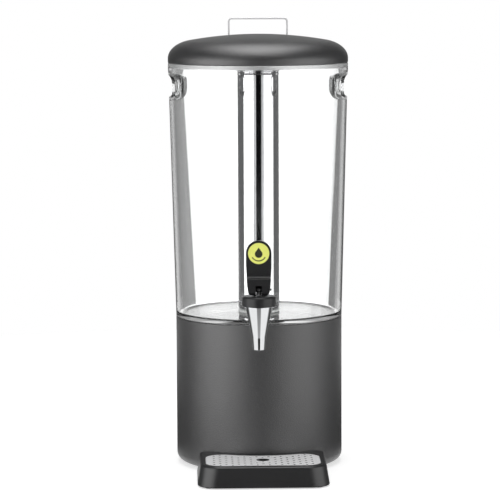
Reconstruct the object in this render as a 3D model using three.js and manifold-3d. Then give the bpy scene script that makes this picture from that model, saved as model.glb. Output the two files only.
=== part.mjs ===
// Juice dispenser: a clear vessel with a cooling tube on a dark housing, a self-closing tap and a drip tray.
// Millimetres, +Z up, front towards -Y. The origin is the middle of the footprint, on the table.

import * as THREE from 'three';
import { mergeVertices } from 'three/addons/utils/BufferGeometryUtils.js';
import Module from 'manifold-3d';

const wasm = await Module();
wasm.setup();

// Clearances shared by the pieces
const seatGap = 0.25; // between a piece and what it rests on
const fitGap = 0.3; // round a piece that slides into another
const overrun = 2; // how far a cutter reaches past what it cuts

// Facets of round pieces
const largeSides = 36;
const middleSides = 22;
const smallSides = 10;

// Housing
const baseRadius = 105;
const baseHeight = 187.2;
const baseWall = 3;
const baseFillet = 10.5; // outer bottom edge
const baseEdgeRound = 0.8;
const standGap = 2.5; // bottom of the housing above the table
const baseFlangeWidth = 10; // turned-in bottom flange
const shelfDrop = 13; // shelf for the support ring, below the housing's top
const shelfWidth = 5;
const supportWall = 2.7;
const supportFloor = 3;
const supportFloorWidth = 11;

// Plate, screws and feet under the housing
const plateThickness = 2.5;
const plateBossRadius = 4;
const plateBossHeight = 6;
const baseScrewCount = 4;
const baseFootCount = 4;
const footRadius = 9;
const footInset = 12; // foot's edge to the flange's inner edge
const screwRadius = 1.5;
const screwHeadRadius = 3;
const screwHeadHeight = 1.8;
const screwPlay = 0.2;

// Vessel
const vesselFlare = 8; // how much wider the vessel is at its rim than at its foot
const vesselHeight = 305.9; // housing to the underside of the rim
const vesselWallBottom = 8;
const vesselWallTop = 5.4;
const vesselFloor = 4;
const vesselFloorFillet = 3;
const vesselFootWall = 4;
const rimHeight = 13.5;
const rimProud = 0.4;
const rimEdgeRound = 0.5;
const lipHeight = 9.5; // collar inside the lid
const bossHeight = 2.4; // locating boss for the cooling tube

// Grip pockets in the vessel's sides
const gripWidth = 70;
const gripHeight = 28;
const gripDepth = 17;
const gripWall = 4;
const gripRound = 6; // between a pocket's sides and its end
const gripBelowRim = 15; // pocket's centre below the rim's underside
const gripCornerPower = 3.4; // superellipse exponent of the pocket's outline
const gripPoints = 20;
const gripRoundSteps = 2;

// Tap
const tapOut = 35; // nozzle's axis in front of the housing's wall
const shankRise = 17.5; // shank's axis above the housing's top
const shankRadius = 8;
const shankBore = 5.2;
const shankInside = 20; // shank's end inside the vessel's pad
const shankFlangeRadius = 13.2;
const shankFlangeThickness = 3;
const padRadius = 14; // moulded pad on the vessel
const padOut = 1.2;
const padIn = 2;
const gasketThickness = 2.4;
const gasketRadius = 12.4;
const innerGasketThickness = 1.6;
const innerGasketRadius = 11.6;
const washerThickness = 1.4;
const nutFlats = 22;
const nutThickness = 6;

// Tap casting
const nozzleDrop = 41.9; // nozzle's mouth below the shank's axis
const nozzleLength = 15; // straight spout below the cone
const nozzleTipRadius = 7.65;
const nozzleRadius = 8.9;
const coneHeight = 38.6;
const coneRadius = 16.8;
const neckRadius = 14.2;
const neckHeight = 8;
const nozzleBore = 5.2;
const seatRise = 8; // conical valve seat above the straight spout
const seatRadius = 8.6;
const chamberWaist = 11.2; // valve chamber at the shank's height
const chamberRadius = 11.5;

// Bonnet, spring and valve
const bonnetRadius = 20.8;
const bonnetHeight = 12.4;
const bonnetRound = 3;
const bonnetRoof = 3.9;
const bonnetFootRound = 0.5;
const springWellRadius = 7;
const stemRadius = 3;
const stemPlay = 0.4;
const stemHeadRadius = 4.2;
const stemHeadHalfWidth = 3.2;
const stemFlangeRadius = 6.2;
const stemFlangeThickness = 1.2;
const seatCupHeight = 11;
const seatCupGap = 0.45;
const springWire = 1.2;
const springRadius = 5;
const springTurns = 6;
const springStepsPerTurn = 8;
const springWireSides = 5;

// Lever
const leverTilt = 50; // degrees, forward
const stemLift = 3; // at full tilt
const camRadius = 6.5; // straight below the pin
const camGap = 0.3;
const pinRadius = 1.5;
const pinPlay = 0.15;
const pinProud = 2;
const leverWidth = 31;
const leverCentreRise = 44.7; // middle of the rounded top above the pin
const leverShoulderRise = 30; // where the sides start to narrow
const leverWaistWidth = 28.4;
const leverWaistRise = 6;
const leverFootWidth = 26;
const leverFootRound = 5;
const leverFront = 10.8; // block's front face before the pin
const leverRear = 7;
const leverLedgeRise = 14.5;
const leverLedgeFillet = 4;
const leverRearRise = 9;
const paddleFront = 4.5; // paddle's front face before the pin
const paddleThickness = 7;
const paddleRootRise = 22;
const slotHalfWidth = 3.8;
const slotRear = 5.2; // behind the pin
const slotTop = 5.6;
const discRadius = 12.9;
const discThickness = 1.2;
const discProud = 0.4;

// Cooling tube
const tubeRadius = 26.3;
const tubeWall = 1.2;
const tubeRise = 4.8; // tube's top above the rim's underside
const tubeBottomRound = 4;
const tubeBeadOut = 1.1;
const tubeBeadHeight = 2.4;
const tubeFootThickness = 2.8;
const stopperFlangeHeight = 5;
const stopperFlangeOut = 1.3;
const stopperPlugDepth = 13;
const stopperPlugGap = 0.7;
const stopperKnobRadius = 9.5;
const stopperKnobNeck = 7.5;
const stopperKnobHeight = 14;
const stopperKnobRim = 5;
const stopperRingRadius = 0.75;
const stopperGrooveDepth = 1.4;
const stopperGrooveHeight = 2.2;
const stopperRingDrop = 7.5;

// Lid
const lidProud = 0.5; // skirt outside the vessel's wall at the rim
const lidWall = 3;
const lidSkirtHeight = 6; // straight skirt, up to the shoulder's start
const lidShoulderRise = 22.5;
const lidShoulderIn = 26.7;
const lidCrown = 7.6;
const lidEdgeRound = 1.6;
const lidShoulderFullness = 11;
const lidShoulderReach = 15;
const lidShoulderSteps = 5;
const lidCrownSteps = 3;
const lidStepIn = 7; // inner step that holds the seal
const lidSealThickness = 3.4;
const lipPlay = 0.6;

// Lid handle
const handleWidth = 75.4;
const handleRise = 20.6; // bar's top above the lid's top
const stripThickness = 2;
const stripWidth = 16;
const stripBend = 5;
const tabReach = 16;
const tabDrop = 8.4; // tab's underside below the lid's top
const slotPlay = 0.3;

// Drip tray
const trayTurn = 1.7; // degrees about the housing's axis, as it stands
const trayOut = 88; // front edge in front of the housing's wall
const trayHeight = 27;
const trayHalfWidth = 80.8;
const trayDraft = 4.3;
const trayTopRound = 2.6;
const trayRoundShare = 0.3; // the rounding's middle point, in and down
const trayBottomRound = 1.4;
const trayCorner = 24;
const trayRearCorner = 6;
const trayGap = 0.8; // between the tray and the housing
const trayStand = 1.5;
const trayFloor = 3;
const trayFootRadius = 6;
const trayFootInset = 15;
const grateThickness = 1.5;
const grateDrop = 0.6; // below the tray's top
const grateHalfWidth = 70;
const grateFrontInset = 9;
const grateRearInset = 8;
const grateCorner = 20;
const grateLedge = 3;
const gratePitchX = 7.5;
const gratePitchY = 13;
const grateHoleRadius = 1.7;
const grateHoleSides = 5;
const grateMargin = 5;
const grateFingerHole = 8.2;

// Colours and finishes
const texturedGrey = { color: 0x4a4a4b, roughness: 0.5, metalness: 0.1 };
const clearPlastic = { color: 0xeef2f3, roughness: 0.05, metalness: 0, transparent: true, opacity: 0.3 };
const blackPlastic = { color: 0x242424, roughness: 0.45, metalness: 0 };
const trayBlack = { color: 0x333335, roughness: 0.5, metalness: 0 };
const rubberBlack = { color: 0x1b1b1b, roughness: 0.9, metalness: 0 };
const clearSilicone = { color: 0xe4e6e4, roughness: 0.4, metalness: 0 };
const chrome = { color: 0xd8dadc, roughness: 0.08, metalness: 1 };
const polishedSteel = { color: 0xcfd1d3, roughness: 0.15, metalness: 1 };
const brushedSteel = { color: 0xc4c6c8, roughness: 0.35, metalness: 1 };
const limeGreen = { color: 0xd9e35a, roughness: 0.4, metalness: 0 };

// Levels along the housing's axis
const vesselBottom = baseHeight + seatGap;
const vesselInside = vesselBottom + vesselFloor;
const rimBottom = vesselBottom + vesselHeight;
const rimTop = rimBottom + rimHeight;
const lipTop = rimTop + lipHeight;
const lidBottom = rimTop + seatGap;
const lidShoulderStart = lidBottom + lidSkirtHeight;
const lidCrownEdge = lidShoulderStart + lidShoulderRise;
const lidTop = lidCrownEdge + lidCrown;
const tubeTop = rimBottom + tubeRise;
const shankLevel = baseHeight + shankRise;
const nozzleBottom = shankLevel - nozzleDrop;
const coneBottom = nozzleBottom + nozzleLength;
const coneTop = coneBottom + coneHeight;
const bonnetBottom = coneTop + seatGap;
const bonnetTop = bonnetBottom + bonnetHeight;

// Cam foot: its radius grows evenly with the angle in front of the vertical, so the lift follows the tilt
const camGrowth = stemLift / THREE.MathUtils.degToRad(leverTilt);
const camEnd = 75; // degrees, where the cam meets the block's front
const camSteps = 10;
const camRearFrom = -20; // degrees, round stretch behind the vertical
const camRearTo = -80;
const pinLevel = bonnetTop + camGap + camDepth();

// Radii and distances that neighbours share
const vesselTopRadius = baseRadius + vesselFlare;
const tapReach = baseRadius + tapOut;
const trayReach = baseRadius + trayOut;
const lidRadius = vesselTopRadius + lidProud;
const supportOuter = baseRadius - baseWall - fitGap;
const supportInner = supportOuter - supportWall;
const vesselFootOuter = supportInner - fitGap;
const lipOuter = lidRadius - lidWall - lipPlay;
const plateRadius = baseRadius - baseFillet - fitGap;
const flangeInner = baseRadius - baseFillet - baseFlangeWidth;
const screwCircle = (plateRadius + flangeInner) / 2;
const lidPadWidth = tabReach - stripBend - seatGap;

// Greatest depth of the cam below the pin when the lever is upright
function camDepth() {
  let depth = 0;
  for (let degrees = 0; degrees <= camEnd; degrees++) {
    const angle = THREE.MathUtils.degToRad(degrees);
    depth = Math.max(depth, (camRadius + camGrowth * angle) * Math.cos(angle));
  }
  return depth;
}

// Shared vertices merged and collapsed triangles dropped, so that the surface is closed
function welded(geometry) {
  const bare = geometry.clone();
  bare.deleteAttribute('normal');
  bare.deleteAttribute('uv');
  const merged = mergeVertices(bare);
  const source = merged.index.array;
  const kept = [];
  for (let i = 0; i < source.length; i += 3) {
    const [a, b, c] = [source[i], source[i + 1], source[i + 2]];
    if (a !== b && b !== c && c !== a) kept.push(a, b, c);
  }
  merged.setIndex(kept);
  return merged;
}

function solid(geometry) {
  const closed = welded(geometry);
  const vertProperties = new Float32Array(closed.attributes.position.array);
  const triVerts = new Uint32Array(closed.index.array);
  return new wasm.Manifold(new wasm.Mesh({ numProp: 3, vertProperties, triVerts }));
}

function geometryOf(manifold) {
  const mesh = manifold.getMesh();
  const geometry = new THREE.BufferGeometry();
  geometry.setAttribute('position', new THREE.BufferAttribute(mesh.vertProperties, 3));
  geometry.setIndex(new THREE.BufferAttribute(mesh.triVerts, 1));
  return geometry;
}

// A named piece from a geometry or from a solid that was cut or joined
function piece(name, shape, finish) {
  const geometry = shape.isBufferGeometry ? welded(shape) : geometryOf(shape);
  geometry.computeVertexNormals();
  const mesh = new THREE.Mesh(geometry, new THREE.MeshStandardMaterial(finish));
  mesh.name = name;
  return mesh;
}

// Points of an arc in a profile, from one angle to another in degrees
function arc(centreX, centreY, radius, from, to, steps) {
  const points = [];
  for (let i = 0; i <= steps; i++) {
    const angle = THREE.MathUtils.degToRad(from + ((to - from) * i) / steps);
    points.push([centreX + radius * Math.cos(angle), centreY + radius * Math.sin(angle)]);
  }
  return points;
}

// A profile of [radius, height] points turned round the Z axis: up on the outside, down on the inside
function revolve(profile, sides, closes = false) {
  const points = profile.map(([radius, height]) => new THREE.Vector2(radius, height));
  if (closes) points.push(points[0].clone());
  return new THREE.LatheGeometry(points, sides).rotateX(Math.PI / 2);
}

function shapeOf(points) {
  return new THREE.Shape(points.map(([x, y]) => new THREE.Vector2(x, y)));
}

// A flat outline in X and Y, raised along Z
function raise(shape, bottom, height) {
  return new THREE.ExtrudeGeometry(shape, { depth: height, bevelEnabled: false }).translate(0, 0, bottom);
}

// A front outline in X and Z, carried from one depth to another along Y
function carryFront(points, fromY, toY) {
  const depth = toY - fromY;
  const body = new THREE.ExtrudeGeometry(shapeOf(points), { depth, bevelEnabled: false });
  return body.rotateX(Math.PI / 2).translate(0, toY, 0);
}

// A side outline in Y and Z, carried across the width along X
function carrySide(points, width) {
  const body = new THREE.ExtrudeGeometry(shapeOf(points), { depth: width, bevelEnabled: false });
  const turn = new THREE.Matrix4().makeBasis(
    new THREE.Vector3(0, 1, 0),
    new THREE.Vector3(0, 0, 1),
    new THREE.Vector3(1, 0, 0),
  );
  return body.applyMatrix4(turn).translate(-width / 2, 0, 0);
}

function box(from, to) {
  const size = to.map((value, axis) => value - from[axis]);
  const body = new THREE.BoxGeometry(...size);
  return body.translate(...from.map((value, axis) => value + size[axis] / 2));
}

function uprightRod(radius, bottom, top, sides = smallSides) {
  return revolve([[0, bottom], [radius, bottom], [radius, top], [0, top]], sides);
}

// A cutter whose flats, not its corners, stand at the radius
function uprightHole(radius, bottom, top, sides = smallSides) {
  return uprightRod(radius / Math.cos(Math.PI / sides), bottom, top, sides);
}

// A rod along Y, from one depth to another
function depthRod(radius, fromY, toY, sides = smallSides) {
  return uprightRod(radius, -toY, -fromY, sides).rotateX(Math.PI / 2);
}

function depthHole(radius, fromY, toY, sides = smallSides) {
  return uprightHole(radius, -toY, -fromY, sides).rotateX(Math.PI / 2);
}

// A closed skin through rings of equally many points, capped at both ends
function loft(rings) {
  const count = rings[0].length;
  const positions = rings.flat(2);
  const index = [];
  for (let ring = 0; ring + 1 < rings.length; ring++) {
    for (let i = 0; i < count; i++) {
      const a = ring * count + i;
      const b = ring * count + ((i + 1) % count);
      index.push(a, b, b + count, a, b + count, a + count);
    }
  }
  const last = (rings.length - 1) * count;
  const capOf = (ring) => THREE.ShapeUtils.triangulateShape(ring.map((point) => flatten(point, rings)), []);
  for (const [a, b, c] of capOf(rings[0])) index.push(a, c, b);
  for (const [a, b, c] of capOf(rings.at(-1))) index.push(last + a, last + b, last + c);
  const geometry = new THREE.BufferGeometry();
  geometry.setAttribute('position', new THREE.Float32BufferAttribute(positions, 3));
  geometry.setIndex(index);
  return geometry;
}

// The two coordinates of a ring's point that differ within its ring
function flatten([x, y, z], rings) {
  const across = rings[0].every((point) => point[0] === rings[0][0][0]);
  return across ? new THREE.Vector2(y, z) : new THREE.Vector2(x, y);
}

function around(count, startDegrees) {
  const angles = [];
  for (let i = 0; i < count; i++) angles.push(THREE.MathUtils.degToRad(startDegrees + (360 * i) / count));
  return angles;
}

// Housing

function baseShell() {
  const outer = baseRadius;
  const inner = baseRadius - baseWall;
  const filletCentre = baseRadius - baseFillet;
  const flangeTop = standGap + baseWall;
  const shelfTop = baseHeight - shelfDrop;
  const shelfBottom = shelfTop - baseWall;
  const profile = [
    [flangeInner, standGap],
    ...arc(filletCentre, standGap + baseFillet, baseFillet, -90, 0, 4),
    [outer, baseHeight - baseEdgeRound],
    [outer - baseEdgeRound, baseHeight],
    [inner, baseHeight],
    [inner, shelfTop],
    [inner - shelfWidth, shelfTop],
    [inner - shelfWidth, shelfBottom],
    [inner, shelfBottom - shelfWidth],
    ...arc(filletCentre, standGap + baseFillet, baseFillet - baseWall, 0, -90, 3),
    [flangeInner, flangeTop],
  ];
  let shell = solid(revolve(profile, largeSides, true));
  for (const angle of around(baseScrewCount, 45)) {
    const [x, y] = [screwCircle * Math.cos(angle), screwCircle * Math.sin(angle)];
    const hole = uprightHole(screwRadius + screwPlay, standGap - overrun, flangeTop + overrun);
    const head = uprightHole(screwHeadRadius + screwPlay, standGap - overrun, standGap + screwHeadHeight);
    shell = shell.subtract(solid(hole.translate(x, y, 0)));
    shell = shell.subtract(solid(head.translate(x, y, 0)));
  }
  return piece('base_shell', shell, texturedGrey);
}

function supportRing() {
  const bottom = baseHeight - shelfDrop + seatGap;
  const profile = [
    [supportInner - supportFloorWidth, bottom],
    [supportOuter, bottom],
    [supportOuter, baseHeight],
    [supportInner, baseHeight],
    [supportInner, bottom + supportFloor],
    [supportInner - supportFloorWidth, bottom + supportFloor],
  ];
  return piece('support_ring', revolve(profile, largeSides, true), blackPlastic);
}

function basePlateAndScrews() {
  const bottom = standGap + baseWall + seatGap;
  const top = bottom + plateThickness;
  const screwTop = top + plateBossHeight / 2;
  const headTop = standGap + screwHeadHeight;
  let plate = solid(uprightRod(plateRadius, bottom, top, largeSides));
  const screws = [];
  around(baseScrewCount, 45).forEach((angle, i) => {
    const [x, y] = [screwCircle * Math.cos(angle), screwCircle * Math.sin(angle)];
    const boss = uprightRod(plateBossRadius, bottom, top + plateBossHeight);
    const hole = uprightHole(screwRadius + screwPlay, bottom - overrun, screwTop + seatGap);
    plate = plate.add(solid(boss.translate(x, y, 0))).subtract(solid(hole.translate(x, y, 0)));
    const profile = [
      [0, headTop - screwHeadHeight + seatGap],
      [screwHeadRadius, headTop - screwHeadHeight + seatGap],
      [screwHeadRadius, headTop - seatGap],
      [screwRadius, headTop - seatGap],
      [screwRadius, screwTop],
      [0, screwTop],
    ];
    const screw = revolve(profile, smallSides).translate(x, y, 0);
    screws.push(piece(`base_screw_${i + 1}`, screw, brushedSteel));
  });
  return [piece('base_plate', plate, blackPlastic), ...screws];
}

function baseFeet() {
  const top = standGap + baseWall;
  const circle = flangeInner - footInset;
  const profile = [
    [0, 0],
    [footRadius - standGap / 2, 0],
    [footRadius, standGap],
    [footRadius, top],
    [0, top],
  ];
  return around(baseFootCount, 0).map((angle, i) => {
    const foot = revolve(profile, smallSides);
    foot.translate(circle * Math.cos(angle), circle * Math.sin(angle), 0);
    return piece(`foot_${i + 1}`, foot, rubberBlack);
  });
}

// Vessel

function vesselOuterRadius(height) {
  const share = (height - vesselBottom) / (rimBottom - vesselBottom);
  return baseRadius + (vesselTopRadius - baseRadius) * share;
}

function vesselInnerRadius(height) {
  const share = (height - vesselBottom) / (rimBottom - vesselBottom);
  return vesselOuterRadius(height) - vesselWallBottom - (vesselWallTop - vesselWallBottom) * share;
}

function vesselOutside() {
  const rimRadius = vesselTopRadius + rimProud;
  return [
    [baseRadius - baseEdgeRound, vesselBottom],
    [baseRadius, vesselBottom + baseEdgeRound],
    [vesselTopRadius, rimBottom],
    [rimRadius, rimBottom + rimProud],
    [rimRadius, rimTop - rimEdgeRound],
    [rimRadius - rimEdgeRound, rimTop],
    [lipOuter, rimTop],
    [lipOuter, lipTop - rimEdgeRound],
    [lipOuter - rimEdgeRound, lipTop],
  ];
}

// Superellipse ring of the grip pocket in the plane at x, drawn in or out by an offset
function gripRing(x, offset) {
  const ring = [];
  const centre = rimBottom - gripBelowRim;
  for (let i = 0; i < gripPoints; i++) {
    const angle = (2 * Math.PI * i) / gripPoints;
    const bend = (value) => Math.sign(value) * Math.abs(value) ** (2 / gripCornerPower);
    const y = (gripWidth / 2 + offset) * bend(Math.cos(angle));
    const z = centre + (gripHeight / 2 + offset) * bend(Math.sin(angle));
    ring.push([x, y, z]);
  }
  return ring;
}

// Pocket, or with an offset the bulge that surrounds it, from its rounded end to outside the wall
function gripBody(offset) {
  const centre = rimBottom - gripBelowRim;
  const end = vesselOuterRadius(centre) - gripDepth - offset;
  const round = gripRound + offset;
  const rings = [];
  for (let i = 0; i <= gripRoundSteps; i++) {
    const angle = (Math.PI / 2) * (1 - i / gripRoundSteps);
    const x = end + round * (1 - Math.sin(angle));
    rings.push(gripRing(x, offset - round * (1 - Math.cos(angle))));
  }
  rings.push(gripRing(vesselTopRadius + rimProud + overrun, offset));
  return loft(rings);
}

function vessel() {
  const mouthInner = vesselInnerRadius(rimBottom);
  const filletRadius = vesselFloorFillet;
  const floorInner = vesselInnerRadius(vesselInside + filletRadius);
  const bossRadius = tubeRadius - tubeBottomRound - seatGap;
  const bossTop = vesselInside + bossHeight;
  const footBottom = baseHeight - shelfDrop + seatGap + supportFloor + seatGap;
  const inside = [
    [mouthInner + rimEdgeRound, lipTop],
    [mouthInner, lipTop - rimEdgeRound],
    [mouthInner, rimBottom],
    ...arc(floorInner - filletRadius, vesselInside + filletRadius, filletRadius, 0, -90, 2),
    [bossRadius, vesselInside],
    [bossRadius, bossTop],
    [0, bossTop],
  ];
  const underside = [
    [0, vesselBottom],
    [vesselFootOuter - vesselFootWall, vesselBottom],
    [vesselFootOuter - vesselFootWall, footBottom],
    [vesselFootOuter, footBottom],
    [vesselFootOuter, vesselBottom],
  ];
  const filled = solid(revolve([[0, vesselBottom], ...vesselOutside(), [0, lipTop]], largeSides));
  let body = solid(revolve([...underside, ...vesselOutside(), ...inside], largeSides));
  for (const turn of [0, Math.PI]) {
    const bulge = solid(gripBody(gripWall).rotateZ(turn)).intersect(filled);
    body = body.add(bulge).subtract(solid(gripBody(0).rotateZ(turn)));
  }
  const pad = depthRod(padRadius, -padFront(), -padBack(), middleSides).translate(0, 0, shankLevel);
  const hole = depthHole(shankRadius + fitGap, -padFront() - overrun, -padBack() + overrun);
  body = body.add(solid(pad)).subtract(solid(hole.translate(0, 0, shankLevel)));
  return piece('container', body, clearPlastic);
}

// Distances of the tap pad's two faces from the axis
function padFront() {
  return vesselOuterRadius(shankLevel) + padOut;
}

function padBack() {
  return vesselInnerRadius(shankLevel) - padIn;
}

// Tap

function ringRod(outer, inner, fromY, toY) {
  const profile = [[inner, -toY], [outer, -toY], [outer, -fromY], [inner, -fromY]];
  return revolve(profile, middleSides, true).rotateX(Math.PI / 2).translate(0, 0, shankLevel);
}

function tapSeals() {
  const outerFace = -padFront() - seatGap;
  const innerFace = -padBack() + seatGap;
  const washerFace = innerFace + innerGasketThickness + seatGap;
  const bore = shankRadius + fitGap;
  const outer = ringRod(gasketRadius, bore, outerFace - gasketThickness, outerFace);
  const inner = ringRod(innerGasketRadius, bore, innerFace, innerFace + innerGasketThickness);
  const washer = ringRod(innerGasketRadius, bore, washerFace, washerFace + washerThickness);
  return [
    piece('tap_gasket_outer', outer, clearSilicone),
    piece('tap_gasket_inner', inner, clearSilicone),
    piece('tap_washer', washer, polishedSteel),
  ];
}

function tapNut() {
  const face = -padBack() + seatGap + innerGasketThickness + seatGap + washerThickness + seatGap;
  const corner = nutFlats / 2 / Math.cos(Math.PI / 6);
  const hexagon = around(6, 0).map((angle) => [corner * Math.cos(angle), corner * Math.sin(angle)]);
  const body = carryFront(hexagon, face, face + nutThickness);
  const bore = depthHole(shankRadius + fitGap, face - overrun, face + nutThickness + overrun, middleSides);
  return piece('tap_nut', solid(body).subtract(solid(bore)).translate([0, 0, shankLevel]), polishedSteel);
}

function tapBody() {
  const neckTop = coneTop + neckHeight;
  const outside = [
    [0, nozzleBottom],
    [nozzleTipRadius, nozzleBottom],
    [nozzleRadius, coneBottom],
    [coneRadius, coneTop],
    [neckRadius, coneTop],
    [neckRadius, neckTop],
    [0, neckTop],
  ];
  const chamber = [
    [0, nozzleBottom - overrun],
    [nozzleBore, nozzleBottom - overrun],
    [nozzleBore, coneBottom + seatGap],
    [seatRadius, coneBottom + seatRise],
    [chamberWaist, shankLevel],
    [chamberRadius, coneTop],
    [chamberRadius, neckTop + overrun],
    [0, neckTop + overrun],
  ];
  const flangeFace = -padFront() - seatGap - gasketThickness - seatGap;
  const shankEnd = -padBack() + shankInside;
  const shank = depthRod(shankRadius, -tapReach, shankEnd, middleSides).translate(0, 0, shankLevel);
  const flange = depthRod(shankFlangeRadius, flangeFace - shankFlangeThickness, flangeFace, middleSides);
  const bore = depthRod(shankBore, -tapReach, shankEnd + overrun).translate(0, 0, shankLevel);
  const casting = solid(revolve(outside, middleSides)).translate([0, -tapReach, 0]);
  const hollow = solid(revolve(chamber, middleSides)).translate([0, -tapReach, 0]);
  const joined = casting.add(solid(shank)).add(solid(flange.translate(0, 0, shankLevel)));
  return piece('tap_body', joined.subtract(hollow).subtract(solid(bore)), chrome);
}

function tapBonnet() {
  const roofBottom = bonnetTop - bonnetRoof;
  const threadTop = coneTop + neckHeight + seatGap;
  const profile = [
    [neckRadius + fitGap, bonnetBottom],
    [bonnetRadius - bonnetFootRound, bonnetBottom],
    [bonnetRadius, bonnetBottom + bonnetFootRound],
    ...arc(bonnetRadius - bonnetRound, bonnetTop - bonnetRound, bonnetRound, 0, 90, 3),
    [stemRadius + stemPlay, bonnetTop],
    [stemRadius + stemPlay, roofBottom],
    [springWellRadius, roofBottom],
    [springWellRadius, threadTop],
    [neckRadius + fitGap, threadTop],
  ];
  return piece('tap_collar', revolve(profile, middleSides, true).translate(0, -tapReach, 0), blackPlastic);
}

// Level of the stem flange that the spring presses on
function stemFlangeLevel() {
  return coneBottom + seatCupGap + seatCupHeight + seatGap;
}

// Points along the coil's centre line, from the flange up to the bonnet's roof
function springPath() {
  const bottom = stemFlangeLevel() + stemFlangeThickness + seatGap + springWire / 2;
  const top = bonnetTop - bonnetRoof - seatGap - springWire / 2;
  const steps = springTurns * springStepsPerTurn;
  const points = [];
  for (let i = 0; i <= steps; i++) {
    const angle = (2 * Math.PI * i) / springStepsPerTurn;
    const height = bottom + ((top - bottom) * i) / steps;
    points.push(new THREE.Vector3(springRadius * Math.cos(angle), springRadius * Math.sin(angle), height));
  }
  return points;
}

// One unbroken tube: at every point a ring that stands square to the coil, built from its radial direction
function valveSpring() {
  const points = springPath();
  const rings = points.map((point, i) => {
    const radial = new THREE.Vector3(point.x, point.y, 0).normalize();
    const before = points[Math.max(i - 1, 0)];
    const after = points[Math.min(i + 1, points.length - 1)];
    const along = after.clone().sub(before).normalize();
    const upward = new THREE.Vector3().crossVectors(radial, along).normalize();
    return around(springWireSides, 90).map((angle) => {
      const offset = radial.clone().multiplyScalar((springWire / 2) * Math.cos(angle));
      offset.addScaledVector(upward, (springWire / 2) * Math.sin(angle));
      return point.clone().add(offset).toArray();
    });
  });
  return piece('valve_spring', ribbon(rings).translate(0, -tapReach, 0), polishedSteel);
}

// A closed tube through convex rings, each end closed by a fan
function ribbon(rings) {
  const count = rings[0].length;
  const index = [];
  for (let ring = 0; ring + 1 < rings.length; ring++) {
    for (let i = 0; i < count; i++) {
      const a = ring * count + i;
      const b = ring * count + ((i + 1) % count);
      index.push(a, a + count, b + count, a, b + count, b);
    }
  }
  const last = (rings.length - 1) * count;
  for (let i = 1; i + 1 < count; i++) {
    index.push(0, i, i + 1, last, last + i + 1, last + i);
  }
  const geometry = new THREE.BufferGeometry();
  geometry.setAttribute('position', new THREE.Float32BufferAttribute(rings.flat(2), 3));
  geometry.setIndex(index);
  return geometry;
}

function valveStem() {
  const bottom = coneBottom + seatCupGap + seatCupHeight / 2;
  const flange = stemFlangeLevel();
  const headJoin = Math.sqrt(stemHeadRadius ** 2 - stemRadius ** 2);
  const joinAngle = THREE.MathUtils.radToDeg(Math.atan2(-headJoin, stemRadius));
  const profile = [
    [0, bottom],
    [stemRadius, bottom],
    [stemRadius, flange],
    [stemFlangeRadius, flange],
    [stemFlangeRadius, flange + stemFlangeThickness],
    [stemRadius, flange + stemFlangeThickness],
    ...arc(0, pinLevel, stemHeadRadius, joinAngle, 90, 4).map(([x, z]) => [Math.max(x, 0), z]),
  ];
  profile[profile.length - 1][0] = 0;
  const widest = stemFlangeRadius + overrun;
  const middle = (flange + stemFlangeThickness + pinLevel) / 2;
  const flats = box([-stemHeadHalfWidth, -widest, middle], [stemHeadHalfWidth, widest, pinLevel + widest]);
  const lower = box([-widest, -widest, bottom - overrun], [widest, widest, middle]);
  const eye = uprightHole(pinRadius + pinPlay, -widest, widest).rotateY(Math.PI / 2);
  eye.translate(0, 0, pinLevel);
  const kept = solid(flats).add(solid(lower));
  const stem = solid(revolve(profile, middleSides)).intersect(kept).subtract(solid(eye));
  return piece('valve_stem', stem.translate([0, -tapReach, 0]), polishedSteel);
}

// Silicone cup, parallel to the casting's conical seat
function valveSeat() {
  const slope = (seatRadius - nozzleBore) / seatRise;
  const bottom = coneBottom + seatRise / 2;
  const wide = coneBottom + seatRise + seatCupGap;
  const top = coneBottom + seatCupGap + seatCupHeight;
  const socket = coneBottom + seatCupGap + seatCupHeight / 2 - seatGap;
  const profile = [
    [0, bottom],
    [nozzleBore + slope * (bottom - coneBottom) - seatCupGap, bottom],
    [seatRadius - seatCupGap, wide],
    [seatRadius - seatCupGap, top],
    [stemRadius + pinPlay, top],
    [stemRadius + pinPlay, socket],
    [0, socket],
  ];
  return piece('valve_seat', revolve(profile, middleSides).translate(0, -tapReach, 0), clearSilicone);
}

// Half of the lever's width at a height above the pin
function leverHalfWidth(rise) {
  const shares = [
    [-camRadius, leverFootWidth],
    [leverWaistRise, leverWaistWidth],
    [leverShoulderRise, leverWidth],
  ];
  const [low, high] = rise < leverWaistRise ? [shares[0], shares[1]] : [shares[1], shares[2]];
  const share = (rise - low[0]) / (high[0] - low[0]);
  return (low[1] + (high[1] - low[1]) * share) / 2;
}

function leverPin() {
  const left = leverHalfWidth(0);
  const pin = uprightRod(pinRadius, -left, left + pinProud).rotateY(Math.PI / 2);
  return piece('lever_pin', pin.translate(0, -tapReach, pinLevel), polishedSteel);
}

// Front outline: foot with round corners, widening sides and a round top
function leverFrontOutline() {
  const below = camRadius * 2;
  const cornerX = leverFootWidth / 2 - leverFootRound;
  const right = [
    [cornerX, -below],
    ...arc(cornerX, leverFootRound - camRadius, leverFootRound, -90, 0, 4),
    [leverHalfWidth(leverWaistRise), leverWaistRise],
    [leverHalfWidth(leverShoulderRise), leverShoulderRise],
  ];
  const left = right.map(([x, z]) => [-x, z]).reverse();
  return [...right, ...arc(0, leverCentreRise, leverWidth / 2, 0, 180, 14), ...left];
}

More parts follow.
